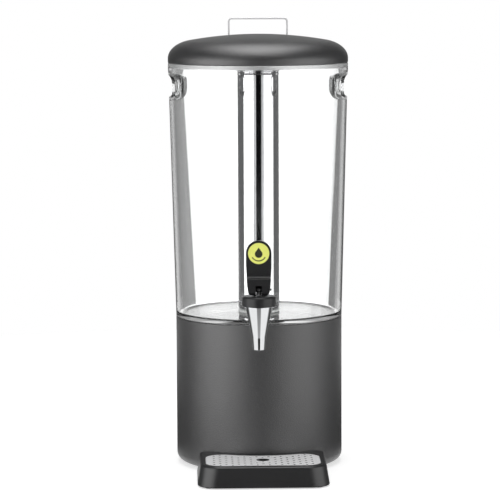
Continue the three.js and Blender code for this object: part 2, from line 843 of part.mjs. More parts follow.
// Side outline: cam foot, block with its ledge, and the paddle
function leverSideOutline() {
  const top = leverCentreRise + leverWidth / 2;
  const cam = [];
  for (let degrees = 0; degrees <= camEnd; degrees += camEnd / camSteps) {
    const angle = THREE.MathUtils.degToRad(degrees);
    const radius = camRadius + camGrowth * angle;
    cam.push([-radius * Math.sin(angle), -radius * Math.cos(angle)]);
  }
  const paddleRear = paddleThickness - paddleFront;
  const filletY = -paddleFront - leverLedgeFillet;
  return [
    ...arc(0, 0, camRadius, camRearFrom, camRearTo, 3),
    ...cam,
    [-leverFront, 0],
    [-leverFront, leverLedgeRise],
    ...arc(filletY, leverLedgeRise + leverLedgeFillet, leverLedgeFillet, -90, 0, 4),
    [-paddleFront, top],
    [paddleRear, top],
    [paddleRear, paddleRootRise],
    [leverRear, leverRearRise],
    [leverRear, 0],
  ];
}

function lever() {
  const reach = leverFront + overrun;
  const front = solid(carryFront(leverFrontOutline(), -reach, reach));
  const side = solid(carrySide(leverSideOutline(), leverWidth));
  const slotOutline = [
    [-reach, -camRadius * 2],
    [slotRear, -camRadius * 2],
    ...arc(0, 0, slotRear, 0, 90, 4),
    [-reach, slotTop],
  ];
  const slot = solid(carrySide(slotOutline, slotHalfWidth * 2));
  const hole = uprightHole(pinRadius + pinPlay, -leverWidth, leverWidth).rotateY(Math.PI / 2);
  const recessFloor = -paddleFront + discThickness - discProud;
  const recess = depthHole(discRadius + pinPlay, -reach, recessFloor, middleSides);
  recess.translate(0, 0, leverCentreRise);
  const body = front.intersect(side).subtract(slot).subtract(solid(hole)).subtract(solid(recess));
  return piece('lever', body.translate([0, -tapReach, pinLevel]), blackPlastic);
}

function leverDisc() {
  const back = -paddleFront + discThickness - discProud - pinPlay;
  const disc = depthRod(discRadius, back - discThickness, back, middleSides);
  return piece('lever_disc', disc.translate(0, -tapReach, pinLevel + leverCentreRise), limeGreen);
}

// Cooling tube

function tubeLevels() {
  const footBottom = vesselInside + seatGap;
  return { footBottom, bottom: footBottom + tubeFootThickness + seatGap };
}

function coolingTube() {
  const { bottom } = tubeLevels();
  const inner = tubeRadius - tubeWall;
  const round = tubeBottomRound;
  const profile = [
    [0, bottom],
    ...arc(tubeRadius - round, bottom + round, round, -90, 0, 2),
    [tubeRadius, tubeTop - tubeBeadHeight],
    [tubeRadius + tubeBeadOut, tubeTop - tubeBeadHeight + tubeBeadOut],
    [tubeRadius + tubeBeadOut, tubeTop],
    [inner, tubeTop],
    ...arc(tubeRadius - round, bottom + round, round - tubeWall, 0, -90, 2),
    [0, bottom + tubeWall],
  ];
  return piece('ice_tube', revolve(profile, middleSides), polishedSteel);
}

function tubeFoot() {
  const { footBottom } = tubeLevels();
  const inner = tubeRadius - tubeBottomRound + fitGap;
  const outer = tubeRadius;
  const top = footBottom + tubeFootThickness;
  const profile = [[inner, footBottom], [outer, footBottom], [outer, top], [inner, top]];
  return piece('ice_tube_foot', revolve(profile, middleSides, true), clearSilicone);
}

function stopper() {
  const inner = tubeRadius - tubeWall;
  const plug = inner - stopperPlugGap;
  const groove = plug - stopperGrooveDepth;
  const flangeBottom = tubeTop + seatGap;
  const flangeTop = flangeBottom + stopperFlangeHeight;
  const ringLevel = flangeBottom - stopperRingDrop;
  const knobTop = flangeTop + stopperKnobHeight;
  const flange = tubeRadius + stopperFlangeOut;
  const profile = [
    [0, flangeBottom - stopperPlugDepth],
    [plug, flangeBottom - stopperPlugDepth],
    [plug, ringLevel - stopperGrooveHeight / 2],
    [groove, ringLevel - stopperGrooveHeight / 2],
    [groove, ringLevel + stopperGrooveHeight / 2],
    [plug, ringLevel + stopperGrooveHeight / 2],
    [plug, flangeBottom],
    [flange, flangeBottom],
    [flange, flangeTop],
    [stopperKnobNeck, flangeTop],
    [stopperKnobRadius, knobTop - stopperKnobRim],
    [stopperKnobRadius, knobTop],
    [0, knobTop],
  ];
  const sealRadius = groove + seatGap + stopperRingRadius;
  const section = around(6, 30).map((angle) => [
    sealRadius + stopperRingRadius * Math.cos(angle),
    ringLevel + stopperRingRadius * Math.sin(angle),
  ]);
  return [
    piece('ice_tube_stopper', revolve(profile, middleSides), blackPlastic),
    piece('ice_tube_seal', revolve(section, middleSides, true), clearSilicone),
  ];
}

// Lid

// Outer profile from the skirt over the shoulder to the crown, drawn in by an offset
function lidDome(offset) {
  const edge = lidRadius - lidShoulderIn;
  const slope = (2 * lidCrown) / edge;
  const shoulder = new THREE.CubicBezierCurve(
    new THREE.Vector2(lidRadius - offset, lidShoulderStart),
    new THREE.Vector2(lidRadius - offset, lidShoulderStart + lidShoulderFullness),
    new THREE.Vector2(edge + lidShoulderReach, lidCrownEdge - slope * lidShoulderReach - offset),
    new THREE.Vector2(edge, lidCrownEdge - offset),
  );
  const points = shoulder.getPoints(lidShoulderSteps).map((point) => [point.x, point.y]);
  for (let i = lidCrownSteps - 1; i >= 0; i--) {
    const share = i / lidCrownSteps;
    points.push([edge * share, lidTop - lidCrown * share ** 2 - offset]);
  }
  return points;
}

function lidShell() {
  const skirtInner = lidRadius - lidWall;
  const stepLevel = lipTop + seatGap + lidSealThickness + seatGap;
  const stepInner = lidRadius - lidWall - lidStepIn;
  const inside = lidDome(lidWall).filter(([radius]) => radius < stepInner);
  const profile = [
    ...inside.reverse(),
    [stepInner, stepLevel],
    [skirtInner, stepLevel],
    [skirtInner, lidBottom],
    [lidRadius - lidEdgeRound, lidBottom],
    [lidRadius, lidBottom + lidEdgeRound],
    ...lidDome(0),
  ];
  let lid = solid(revolve(profile, largeSides));
  for (const side of [-1, 1]) lid = handleSeat(lid, side);
  return piece('lid_shell', lid, texturedGrey);
}

// Slot for one leg of the handle, and the pad under the lid that its tab is screwed to
function handleSeat(lid, side) {
  const legOuter = handleWidth / 2;
  const tabTop = lidTop - tabDrop + stripThickness;
  const padInner = legOuter - tabReach;
  const halfStrip = stripWidth / 2;
  const padTop = lidTop - lidWall;
  const spanX = (from, to) => (side > 0 ? [from, to] : [-to, -from]);
  const [padFrom, padTo] = spanX(padInner, padInner + lidPadWidth);
  const [slotFrom, slotTo] = spanX(legOuter - stripThickness - slotPlay, legOuter + slotPlay);
  const pad = box([padFrom, -halfStrip, tabTop + seatGap], [padTo, halfStrip, padTop]);
  const slotHalf = halfStrip + slotPlay;
  const slot = box([slotFrom, -slotHalf, tabTop - stripBend], [slotTo, slotHalf, lidTop + overrun]);
  const x = side * tabScrewPlace();
  const hole = uprightHole(screwRadius + screwPlay, tabTop - overrun, tabScrewTop() + seatGap);
  return lid.add(solid(pad)).subtract(solid(slot)).subtract(solid(hole.translate(x, 0, 0)));
}

function tabScrewPlace() {
  return handleWidth / 2 - tabReach + lidPadWidth / 2;
}

function tabScrewTop() {
  return lidTop - lidWall;
}

function lidSeal() {
  const bottom = lipTop + seatGap;
  const top = bottom + lidSealThickness;
  const outer = lidRadius - lidWall - fitGap;
  const inner = lidRadius - lidWall - lidStepIn + fitGap;
  const profile = [[inner, bottom], [outer, bottom], [outer, top], [inner, top]];
  return piece('lid_seal', revolve(profile, largeSides, true), clearSilicone);
}

// Bent strip: a bar, two legs and two turned-in tabs under the lid
function lidHandle() {
  const half = handleWidth / 2;
  const top = lidTop + handleRise;
  const tabBottom = lidTop - tabDrop;
  const innerBend = stripBend - stripThickness;
  const bendX = half - stripBend;
  const outerSide = [
    [half - tabReach, tabBottom],
    ...arc(bendX, tabBottom + stripBend, stripBend, -90, 0, 3),
    ...arc(bendX, top - stripBend, stripBend, 0, 90, 4),
  ];
  const innerSide = [
    ...arc(bendX, top - stripBend, innerBend, 90, 0, 4),
    ...arc(bendX, tabBottom + stripBend, innerBend, 0, -90, 3),
    [half - tabReach, tabBottom + stripThickness],
  ];
  const mirrored = (points) => points.map(([x, z]) => [-x, z]).reverse();
  const outline = [...outerSide, ...mirrored(outerSide), ...mirrored(innerSide), ...innerSide];
  let strip = solid(carryFront(outline, -stripWidth / 2, stripWidth / 2));
  const tabTop = tabBottom + stripThickness;
  for (const side of [-1, 1]) {
    const hole = uprightHole(screwRadius + screwPlay, tabBottom - overrun, tabTop + overrun);
    strip = strip.subtract(solid(hole.translate(side * tabScrewPlace(), 0, 0)));
  }
  return piece('lid_handle', strip, polishedSteel);
}

function handleScrews() {
  const headTop = lidTop - tabDrop - seatGap;
  const profile = [
    [0, headTop - screwHeadHeight],
    [screwHeadRadius, headTop - screwHeadHeight],
    [screwHeadRadius, headTop],
    [screwRadius, headTop],
    [screwRadius, tabScrewTop()],
    [0, tabScrewTop()],
  ];
  return [-1, 1].map((side, i) => {
    const screw = revolve(profile, smallSides).translate(side * tabScrewPlace(), 0, 0);
    return piece(`handle_screw_${i + 1}`, screw, brushedSteel);
  });
}

// Drip tray

// Centre of the rounding between a side and the rear edge
function rearCornerCentre({ halfWidth, rearRadius, rearCorner }) {
  const centreX = halfWidth - rearCorner;
  return { centreX, centreY: -Math.sqrt((rearRadius + rearCorner) ** 2 - centreX ** 2) };
}

// Plan outline: straight front, rounded corners, rear edge on a circle round the housing's axis
function trayOutline(sizes) {
  const { halfWidth, front, rearRadius, corner, rearCorner } = sizes;
  const { centreX, centreY } = rearCornerCentre(sizes);
  const tangent = THREE.MathUtils.radToDeg(Math.atan2(-centreY, -centreX));
  const rearAngle = THREE.MathUtils.radToDeg(Math.atan2(centreY, centreX));
  const right = [
    ...arc(halfWidth - corner, -front + corner, corner, -90, 0, 5),
    ...arc(centreX, centreY, rearCorner, 0, tangent, 4),
  ];
  const rear = arc(0, 0, rearRadius, rearAngle, -180 - rearAngle, 10).slice(1, -1);
  const left = right.map(([x, y]) => [-x, y]).reverse();
  return [...right, ...rear, ...left];
}

function trayRing(sizes, height) {
  return trayOutline(sizes).map(([x, y]) => [x, y, height]);
}

// Outer form at a height: the sides and the front lean in towards the top
function trayLevel(height, inset) {
  const share = height / trayHeight;
  return trayRing(
    {
      halfWidth: trayHalfWidth - trayDraft * share - inset,
      front: trayReach - trayDraft * share - inset,
      rearRadius: baseRadius + trayGap + inset,
      corner: trayCorner - inset,
      rearCorner: trayRearCorner,
    },
    height,
  );
}

function grateSizes(offset) {
  return {
    halfWidth: grateHalfWidth + offset,
    front: trayReach - trayDraft - grateFrontInset + offset,
    rearRadius: baseRadius + trayGap + grateRearInset - offset,
    corner: grateCorner + offset,
    rearCorner: grateCorner + offset,
  };
}

function trayBody() {
  const outside = loft([
    trayLevel(trayStand, trayBottomRound),
    trayLevel(trayStand + trayBottomRound, 0),
    trayLevel(trayHeight - trayTopRound, 0),
    trayLevel(trayHeight - trayTopRound * trayRoundShare, trayTopRound * trayRoundShare),
    trayLevel(trayHeight, trayTopRound),
  ]);
  const ledge = trayHeight - grateDrop - grateThickness - seatGap;
  const recessSizes = grateSizes(fitGap);
  const recess = loft([trayRing(recessSizes, ledge), trayRing(recessSizes, trayHeight + overrun)]);
  const basin = loft([
    trayRing(grateSizes(-grateLedge - trayFloor), trayStand + trayFloor),
    trayRing(grateSizes(-grateLedge), trayStand + trayFloor * 2),
    trayRing(grateSizes(-grateLedge), ledge + grateThickness),
  ]);
  return piece('tray_body', solid(outside).subtract(solid(recess)).subtract(solid(basin)), trayBlack);
}

function trayFeet() {
  const x = trayHalfWidth - trayFootInset;
  const front = -trayReach + trayFootInset;
  const rear = -Math.sqrt((baseRadius + trayGap + trayFootInset) ** 2 - x ** 2);
  const places = [[x, front], [-x, front], [x, rear], [-x, rear]];
  return places.map(([footX, footY], i) => {
    const foot = uprightRod(trayFootRadius, 0, trayStand - seatGap);
    return piece(`tray_foot_${i + 1}`, foot.translate(footX, footY, 0), rubberBlack);
  });
}

function insideGrate(x, y, sizes) {
  const side = sizes.halfWidth - Math.abs(x);
  const front = sizes.front + y;
  const rear = Math.hypot(x, y) - sizes.rearRadius;
  if (Math.min(side, front, rear) < grateMargin) return false;
  if (Math.hypot(x, y + tapReach) < grateFingerHole + grateMargin / 2) return false;
  const cornerX = Math.max(0, Math.abs(x) - (sizes.halfWidth - sizes.corner));
  const cornerY = Math.max(0, -y - (sizes.front - sizes.corner));
  if (Math.hypot(cornerX, cornerY) > sizes.corner - grateMargin / 2) return false;
  const { centreX, centreY } = rearCornerCentre(sizes);
  const rearX = Math.max(0, Math.abs(x) - centreX);
  const rearY = Math.max(0, y - centreY);
  return rearX === 0 || Math.hypot(rearX, rearY) < sizes.rearCorner - grateMargin / 2;
}

// Staggered holes: every second column is moved by half a pitch
function grateHoles(sizes) {
  const holes = [];
  const columns = Math.floor(sizes.halfWidth / gratePitchX);
  const rows = Math.ceil(sizes.front / gratePitchY);
  for (let column = -columns; column <= columns; column++) {
    for (let row = 0; row <= rows; row++) {
      const x = column * gratePitchX;
      const y = -tapReach + (row - rows / 2) * gratePitchY + (column % 2 ? gratePitchY / 2 : 0);
      if (insideGrate(x, y, sizes)) holes.push([x, y]);
    }
  }
  return holes;
}

function circlePath(x, y, radius, sides) {
  const points = around(sides, 0).map((angle) => {
    return new THREE.Vector2(x + radius * Math.cos(angle), y + radius * Math.sin(angle));
  });
  return new THREE.Path(points);
}

function trayGrate() {
  const sizes = grateSizes(0);
  const plate = shapeOf(trayOutline(sizes));
  plate.holes.push(circlePath(0, -tapReach, grateFingerHole, smallSides));
  for (const [x, y] of grateHoles(sizes)) plate.holes.push(circlePath(x, y, grateHoleRadius, grateHoleSides));
  const bottom = trayHeight - grateDrop - grateThickness;
  return piece('tray_grate', raise(plate, bottom, grateThickness), brushedSteel);
}

function dripTray() {
  const tray = new THREE.Group();
  tray.add(trayBody(), ...trayFeet(), trayGrate());
  tray.rotation.z = THREE.MathUtils.degToRad(trayTurn);
  return tray;
}

function dispenser() {
  const assembly = new THREE.Group();
  assembly.add(baseShell(), supportRing(), ...basePlateAndScrews(), ...baseFeet());
  assembly.add(vessel(), tapBody(), ...tapSeals(), tapNut(), tapBonnet(), valveSpring());
  assembly.add(valveStem(), valveSeat(), leverPin(), lever(), leverDisc());
  assembly.add(coolingTube(), tubeFoot(), ...stopper());
  assembly.add(lidShell(), lidSeal(), lidHandle(), ...handleScrews());
  assembly.add(dripTray());
  return assembly;
}

// The origin is the middle of the footprint
const assembly = dispenser();
assembly.updateMatrixWorld(true);
const extent = new THREE.Box3().setFromObject(assembly, true);
const middle = extent.getCenter(new THREE.Vector3());
assembly.position.set(-middle.x, -middle.y, 0);

const model = new THREE.Group();
model.add(assembly);

export default model;
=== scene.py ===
"""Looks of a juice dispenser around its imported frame.

Shapes are worked out in millimetres in the row's frame, and mesh_object turns them into metres.
Fine pieces stand for the CAD nodes whose facets would show, and ride on the same bodies.
"""

import math

import bmesh
import bpy
from mathutils import Matrix, Vector

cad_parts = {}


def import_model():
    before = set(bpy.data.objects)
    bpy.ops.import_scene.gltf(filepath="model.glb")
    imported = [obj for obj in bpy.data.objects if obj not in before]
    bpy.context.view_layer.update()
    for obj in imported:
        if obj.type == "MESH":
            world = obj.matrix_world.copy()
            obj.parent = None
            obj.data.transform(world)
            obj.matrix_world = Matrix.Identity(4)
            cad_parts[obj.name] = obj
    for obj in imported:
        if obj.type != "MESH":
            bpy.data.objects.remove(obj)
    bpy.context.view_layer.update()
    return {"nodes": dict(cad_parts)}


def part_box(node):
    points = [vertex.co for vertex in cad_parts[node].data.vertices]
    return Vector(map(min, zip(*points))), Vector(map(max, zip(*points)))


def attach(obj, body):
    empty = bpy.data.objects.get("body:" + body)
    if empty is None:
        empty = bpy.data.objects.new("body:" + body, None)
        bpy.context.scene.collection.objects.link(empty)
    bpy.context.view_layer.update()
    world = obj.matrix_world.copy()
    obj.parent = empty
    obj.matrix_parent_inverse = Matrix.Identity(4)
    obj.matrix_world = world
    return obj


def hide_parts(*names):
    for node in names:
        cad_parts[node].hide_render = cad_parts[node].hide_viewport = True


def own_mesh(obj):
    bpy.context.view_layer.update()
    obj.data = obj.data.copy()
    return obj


MM = 0.001

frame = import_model()


def span(node):
    """Lowest and highest corner of a CAD node, in millimetres."""
    low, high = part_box(node)
    return low / MM, high / MM


# Places read from the frame
base_low, base_high = span("base_shell")
vessel_low, vessel_high = span("container")
lid_low, lid_high = span("lid_shell")
tube_low, tube_high = span("ice_tube")
collar_low, collar_high = span("tap_collar")
pin_low, pin_high = span("lever_pin")
handle_low, handle_high = span("lid_handle")
tray_low, tray_high = span("tray_body")
grate_low, grate_high = span("tray_grate")

AXIS_Y = (base_low.y + base_high.y) / 2
TAP_Y = (collar_low.y + collar_high.y) / 2
PIN_LEVEL = (pin_low.z + pin_high.z) / 2

# Housing
BASE_RADIUS = base_high.x
BASE_TOP = base_high.z
BASE_BOTTOM = base_low.z
BASE_WALL = 3.0
BASE_FILLET = 10.5
BASE_FLANGE = 10.0
SHELF_DROP = 13.0
SHELF_WIDTH = 5.0
EDGE_ROUND = 0.8
RING_WALL = 2.7
RING_LIP = 11.0
RING_FLOOR = 3.0

# Fits and holes
SEAT_GAP = 0.25
FIT_GAP = 0.3
SCREW_HOLE = 1.7
HEAD_HOLE = 3.2
HEAD_DEPTH = 1.8
OVERCUT = 2.0  # how far a cutter reaches past what it cuts

# Vessel
VESSEL_BOTTOM = BASE_TOP + SEAT_GAP
FLOOR = 4.0
RIM_HEIGHT = 13.5
RIM_FROST = 5.9  # how far the frosted rim reaches below the lid
RIM_FROST_FADE = 1.5
LIP_HEIGHT = 9.5
RIM_PROUD = 0.4
LIP_TOP = vessel_high.z
RIM_TOP = LIP_TOP - LIP_HEIGHT
RIM_BOTTOM = RIM_TOP - RIM_HEIGHT
VESSEL_TOP_RADIUS = vessel_high.x - RIM_PROUD
WALL_BOTTOM = 8.0
WALL_TOP = 5.4
FOOT_WALL = 4.0
GRIP_HALF_WIDTH = 35.0
GRIP_HALF_HEIGHT = 14.0
GRIP_DEPTH = 17.0
GRIP_WALL = 4.0
GRIP_ROUND = 6.0
GRIP_BELOW_RIM = 15.0
GRIP_POWER = 3.4

# Lid
LID_RADIUS = lid_high.x
LID_BOTTOM = lid_low.z
LID_TOP = lid_high.z
LID_WALL = 3.0
LID_SKIRT = 6.0
LID_SHOULDER_RISE = 22.5
LID_SHOULDER_IN = 26.7
LID_EDGE_ROUND = 1.6
LID_STEP_IN = 7.0
TAB_REACH = 16.0  # from the handle's side to the inner end of the tab under the lid
TAB_LENGTH = 10.75
TAB_DEPTH = 8.4
STRIP_THICKNESS = 2.0
STRIP_HALF = 8.0

# Cooling tube
TUBE_BEAD = 1.1
TUBE_WALL = 1.2
TUBE_ROUND = 4.0
TUBE_RADIUS = tube_high.x - TUBE_BEAD
TUBE_BOSS = 2.4  # height of the boss that the tube stands round

# Tap
SHANK_LEVEL = BASE_TOP + 17.5
SHANK_RADIUS = 8.0
NOZZLE_BOTTOM = SHANK_LEVEL - 41.9
CONE_BOTTOM = NOZZLE_BOTTOM + 15.0
CONE_TOP = collar_low.z - SEAT_GAP
NECK_RADIUS = 14.2
NECK_RISE = 8.0
BORE_RADIUS = 5.2
SEAT_RADIUS = 8.6
SEAT_RISE = 8.0
CUP_GAP = 0.45
STEM_RADIUS = 3.0
STEM_FLANGE = 6.2
STEM_HEAD = 4.2
PIN_RADIUS = 1.5
PIN_HOLE = 1.65

# Sides of round pieces
FINE = 160
MEDIUM = 72
SMALL = 32

SHARP = 35.0  # degrees between two faces, from which their edge is sharp


# Mesh helpers


def in_scene(name, data):
    obj = bpy.data.objects.new(name, data)
    bpy.context.scene.collection.objects.link(obj)
    return obj


def joined(mesh, distance):
    """The mesh with its doubled points joined and its faces turned outwards."""
    bm = bmesh.new()
    bm.from_mesh(mesh)
    bmesh.ops.remove_doubles(bm, verts=bm.verts, dist=distance)
    bmesh.ops.recalc_face_normals(bm, faces=bm.faces)
    bm.to_mesh(mesh)
    bm.free()
    return mesh


def mesh_object(name, points, faces, sharp_degrees=SHARP):
    """A mesh from points in millimetres, with smooth shading and sharp edges above an angle."""
    mesh = bpy.data.meshes.new(name)
    mesh.from_pydata([[c * MM for c in point] for point in points], [], faces)
    return shaded(in_scene(name, joined(mesh, 1e-7)), sharp_degrees)


def shaded(obj, sharp_degrees=SHARP):
    obj.data.shade_smooth()
    obj.data.set_sharp_from_angle(angle=math.radians(sharp_degrees))
    return obj


def evaluated_mesh(obj):
    bpy.context.view_layer.update()
    return bpy.data.meshes.new_from_object(obj.evaluated_get(bpy.context.evaluated_depsgraph_get()))


def applied(obj):
    """The object with its modifiers applied."""
    mesh = evaluated_mesh(obj)
    obj.modifiers.clear()
    obj.data = mesh
    return obj


def cut(obj, other, operation="DIFFERENCE", sharp_degrees=SHARP):
    """Cuts, joins or intersects two closed meshes, and removes the second."""
    modifier = obj.modifiers.new("cut", "BOOLEAN")
    modifier.object = other
    modifier.operation = operation
    modifier.solver = "MANIFOLD"
    shaded(applied(obj), sharp_degrees)
    bpy.data.objects.remove(other)
    return obj


def bevelled(obj, width, segments, limit_degrees, sharp_degrees):
    modifier = obj.modifiers.new("bevel", "BEVEL")
    modifier.width = width * MM
    modifier.segments = segments
    modifier.limit_method = "ANGLE"
    modifier.angle_limit = math.radians(limit_degrees)
    return shaded(applied(obj), sharp_degrees)


def arc(centre_x, centre_y, radius, start, end, steps):
    """Points on an arc, from one angle to another in degrees."""
    points = []
    for i in range(steps + 1):
        angle = math.radians(start + (end - start) * i / steps)
        points.append((centre_x + radius * math.cos(angle), centre_y + radius * math.sin(angle)))
    return points


def mirrored(line):
    """A line on the other side of the middle, from its end to its start."""
    return [(-x, y) for x, y in reversed(line)]


def softened(points, closed=False, steps=4):
    """A line whose corners are rounded by the radius that a point may have as its third value."""
    result, count = [], len(points)
    for i, point in enumerate(points):
        corner = Vector(point[:2])
        radius = point[2] if len(point) > 2 else 0
        inner = closed or 0 < i < count - 1
        if not radius or not inner:
            result.append(tuple(corner))
            continue
        before = (Vector(points[i - 1][:2]) - corner).normalized()
        after = (Vector(points[(i + 1) % count][:2]) - corner).normalized()
        half = before.angle(after) / 2
        centre = corner + (before + after).normalized() * (radius / math.sin(half))
        start = corner + before * (radius / math.tan(half)) - centre
        end = corner + after * (radius / math.tan(half)) - centre
        for step in range(steps + 1):
            turn = start.normalized().slerp(end.normalized(), step / steps)
            result.append(tuple(centre + turn * radius))
    return result


def lathe(name, profile, centre=(0.0, AXIS_Y), sides=FINE, closed=False):
    """A profile of (radius, height) turned round a vertical axis. Closed joins its two ends."""
    points, rings = [], []
    for radius, height in profile:
        if radius < 1e-6:
            rings.append([len(points)] * sides)
            points.append((centre[0], centre[1], height))
            continue
        rings.append(list(range(len(points), len(points) + sides)))
        for i in range(sides):
            angle = 2 * math.pi * i / sides
            x, y = centre[0] + radius * math.cos(angle), centre[1] + radius * math.sin(angle)
            points.append((x, y, height))
    if closed:
        rings.append(rings[0])
    faces = []
    for low, high in zip(rings, rings[1:]):
        for i in range(sides):
            j = (i + 1) % sides
            face = list(dict.fromkeys([low[i], low[j], high[j], high[i]]))
            if len(face) > 2:
                faces.append(face)
    return mesh_object(name, points, faces)


def turned(name, profile, centre=(0.0, AXIS_Y), sides=FINE, closed=False, steps=4):
    """A turned piece whose corners are rounded where the profile gives a radius."""
    return lathe(name, softened(profile, closed, steps), centre, sides, closed)


def rod(name, radius, bottom, top, centre=(0.0, 0.0), sides=MEDIUM):
    return lathe(name, [(0, bottom), (radius, bottom), (radius, top), (0, top)], centre, sides)


def along_y(obj, level):
    """Turns a piece made round the Z axis at the origin so that it lies along Y at a level."""
    turn = Matrix.Rotation(math.radians(90), 4, "X")
    obj.data.transform(Matrix.Translation((0, 0, level * MM)) @ turn)
    return obj


def along_x(obj, y, level):
    turn = Matrix.Rotation(math.radians(90), 4, "Y")
    obj.data.transform(Matrix.Translation((0, y * MM, level * MM)) @ turn)
    return obj


def loft(name, rings, sharp_degrees=SHARP):
    """A closed skin through rings of equally many points, with a flat cap at both ends."""
    count = len(rings[0])
    points = [point for ring in rings for point in ring]
    faces = [list(range(count)), list(range(len(points) - 1, len(points) - count - 1, -1))]
    for r in range(len(rings) - 1):
        for i in range(count):
            j = (i + 1) % count
            faces.append([r * count + i, r * count + j, (r + 1) * count + j, (r + 1) * count + i])
    return mesh_object(name, points, faces, sharp_degrees)


def prism(name, outline, axis, low, high):
    """A closed outline carried along an axis: (y, z) along x, or (x, z) along y."""
    rings = []
    for depth in (low, high):
        rings.append([(depth, a, b) if axis == "x" else (a, depth, b) for a, b in outline])
    return loft(name, rings)


def block(name, left, right, bottom, top, front, back):
    outline = [(left, bottom), (right, bottom), (right, top), (left, top)]
    return prism(name, outline, "y", front, back)


def moved(obj, y):
    obj.data.transform(Matrix.Translation((0, y * MM, 0)))
    return obj


def place(obj, body, material, slot, *replaced):
    """Gives a piece its material and lets it ride on a body in place of nodes. The slot is not used."""
    normals = obj.modifiers.new("normals", "WEIGHTED_NORMAL")
    normals.keep_sharp = True
    applied(obj)
    obj.data.materials.clear()
    obj.data.materials.append(material)
    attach(obj, body)
    if replaced:
        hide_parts(*replaced)
    return obj


# Materials

GRAIN_DEPTH = 0.0001  # metres
ROLLED = (1.0, 12.0, 12.0)  # how much a rolled sheet's grain is drawn out along x


class Graph:
    """A small builder for the nodes of a material or of the world."""

    def __init__(self, tree):
        self.tree = tree

    def link(self, value, socket):
        """Leads the output of a node into a socket, or sets the socket to a constant."""
        if isinstance(value, bpy.types.NodeSocket):
            self.tree.links.new(value, socket)
        else:
            socket.default_value = value

    def fill(self, node, **inputs):
        for name, value in inputs.items():
            self.link(value, node.inputs[name.replace("_", " ")])
        return node

    def add(self, kind, **inputs):
        return self.fill(self.tree.nodes.new("ShaderNode" + kind), **inputs)

    def parts(self, vector):
        return self.add("SeparateXYZ", Vector=vector).outputs

    def ramp(self, value, start, end, low=0.0, high=1.0, kind="SMOOTHSTEP"):
        """A soft step from low to high, while the value goes from start to end."""
        node = self.add("MapRange", Value=value, From_Min=start, From_Max=end, To_Min=low, To_Max=high)
        node.interpolation_type = kind
        return node.outputs["Result"]

    def combine(self, operation, first, second=0.0):
        node = self.add("Math")
        node.operation = operation
        self.link(first, node.inputs[0])
        self.link(second, node.inputs[1])
        return node.outputs[0]

    def times(self, first, second):
        return self.combine("MULTIPLY", first, second)

    def above(self, value, limit):
        return self.combine("GREATER_THAN", value, limit)

    def choose(self, switch, when_off, when_on):
        return self.add("Mix", Factor=switch, A=when_off, B=when_on).outputs["Result"]

    def in_mirror(self, path):
        """One for what a mirror shows, and zero for what the clear wall shows by its inner reflection."""
        glossy = self.above(path["Glossy Depth"], 0.5)
        entered = self.above(path["Transmission Depth"], 0.5)
        shallow = self.combine("LESS_THAN", path["Transmission Depth"], 2.5)
        return self.combine("SUBTRACT", glossy, self.times(glossy, self.times(entered, shallow)))


class Nodes(Graph):
    """The nodes of one new material."""

    def __init__(self, name):
        self.material = bpy.data.materials.new(name)
        self.material.use_nodes = True
        super().__init__(self.material.node_tree)
        self.shader = self.tree.nodes["Principled BSDF"]

    def set(self, **values):
        self.fill(self.shader, **values)
        return self

    def coordinates(self, kind="Object"):
        return self.add("TexCoord").outputs[kind]

    def noise(self, scale, detail=2.0, roughness=0.5, stretch=None):
        source = self.coordinates()
        if stretch:
            source = self.add("Mapping", Vector=source, Scale=stretch).outputs["Vector"]
        node = self.add("TexNoise", Vector=source, Scale=scale, Detail=detail, Roughness=roughness)
        return node.outputs["Fac"]

    def spread(self, value, low, high, start=0.3, end=0.7):
        """A value carried straight from one range to another, as a noise is from its usual range."""
        return self.ramp(value, start, end, low, high, "LINEAR")

    def colour(self, value, dark, light):
        node = self.add("Mix")
        node.data_type = "RGBA"
        self.fill(node, Factor=value, A=(*dark, 1), B=(*light, 1))
        self.set(Base_Color=node.outputs["Result"])

    def mixed(self, switch, other):
        """Shows another shader in place of the main one where a switch is on."""
        mix = self.add("MixShader", Fac=switch)
        self.link(self.shader.outputs["BSDF"], mix.inputs[1])
        self.link(other.outputs[0], mix.inputs[2])
        self.link(mix.outputs["Shader"], self.tree.nodes["Material Output"].inputs["Surface"])


def clear_plastic():
    """Clear moulded plastic, frosted round its rim. Its shadow is let through as by a thin clear wall."""
    nodes = Nodes("clear_plastic")
    ripple = nodes.noise(14.0, 1.0)
    nodes.colour(nodes.spread(ripple, 0, 1), (0.985, 0.99, 0.99), (0.995, 0.998, 0.998))
    frost_end = (LID_BOTTOM - RIM_FROST) * MM
    height = nodes.parts(nodes.coordinates())["Z"]
    frost = nodes.spread(height, 0, 0.45, frost_end, frost_end + RIM_FROST_FADE * MM)
    rough = nodes.combine("ADD", nodes.spread(ripple, 0.004, 0.012), frost)
    nodes.set(Roughness=rough, IOR=1.49, Transmission_Weight=1.0)
    through = nodes.add("BsdfTransparent", Color=(0.93, 0.935, 0.935, 1))
    nodes.mixed(nodes.add("LightPath").outputs["Is Shadow Ray"], through)
    return nodes.material


def grained(name, dark, light, low, high, noise, bump=0.0, depth=GRAIN_DEPTH, **values):
    """A material whose colour, gloss and surface follow one noise."""
    nodes = Nodes(name)
    grain = nodes.noise(*noise)
    nodes.colour(nodes.spread(grain, 0, 1), dark, light)
    nodes.set(Roughness=nodes.spread(grain, low, high))
    if bump:
        relief = nodes.add("Bump", Height=grain, Strength=bump, Distance=depth)
        nodes.set(Normal=relief.outputs["Normal"])
    return nodes.set(**values).material


def metal(name, colour, low, high, scale=60.0, stretch=None, bump=0.0, metallic=1.0):
    """Bare metal. A blasted one is less than metallic."""
    dark = [c * 0.96 for c in colour]
    return grained(name, dark, colour, low, high, (scale, 3.0, 0.5, stretch), bump, Metallic=metallic)


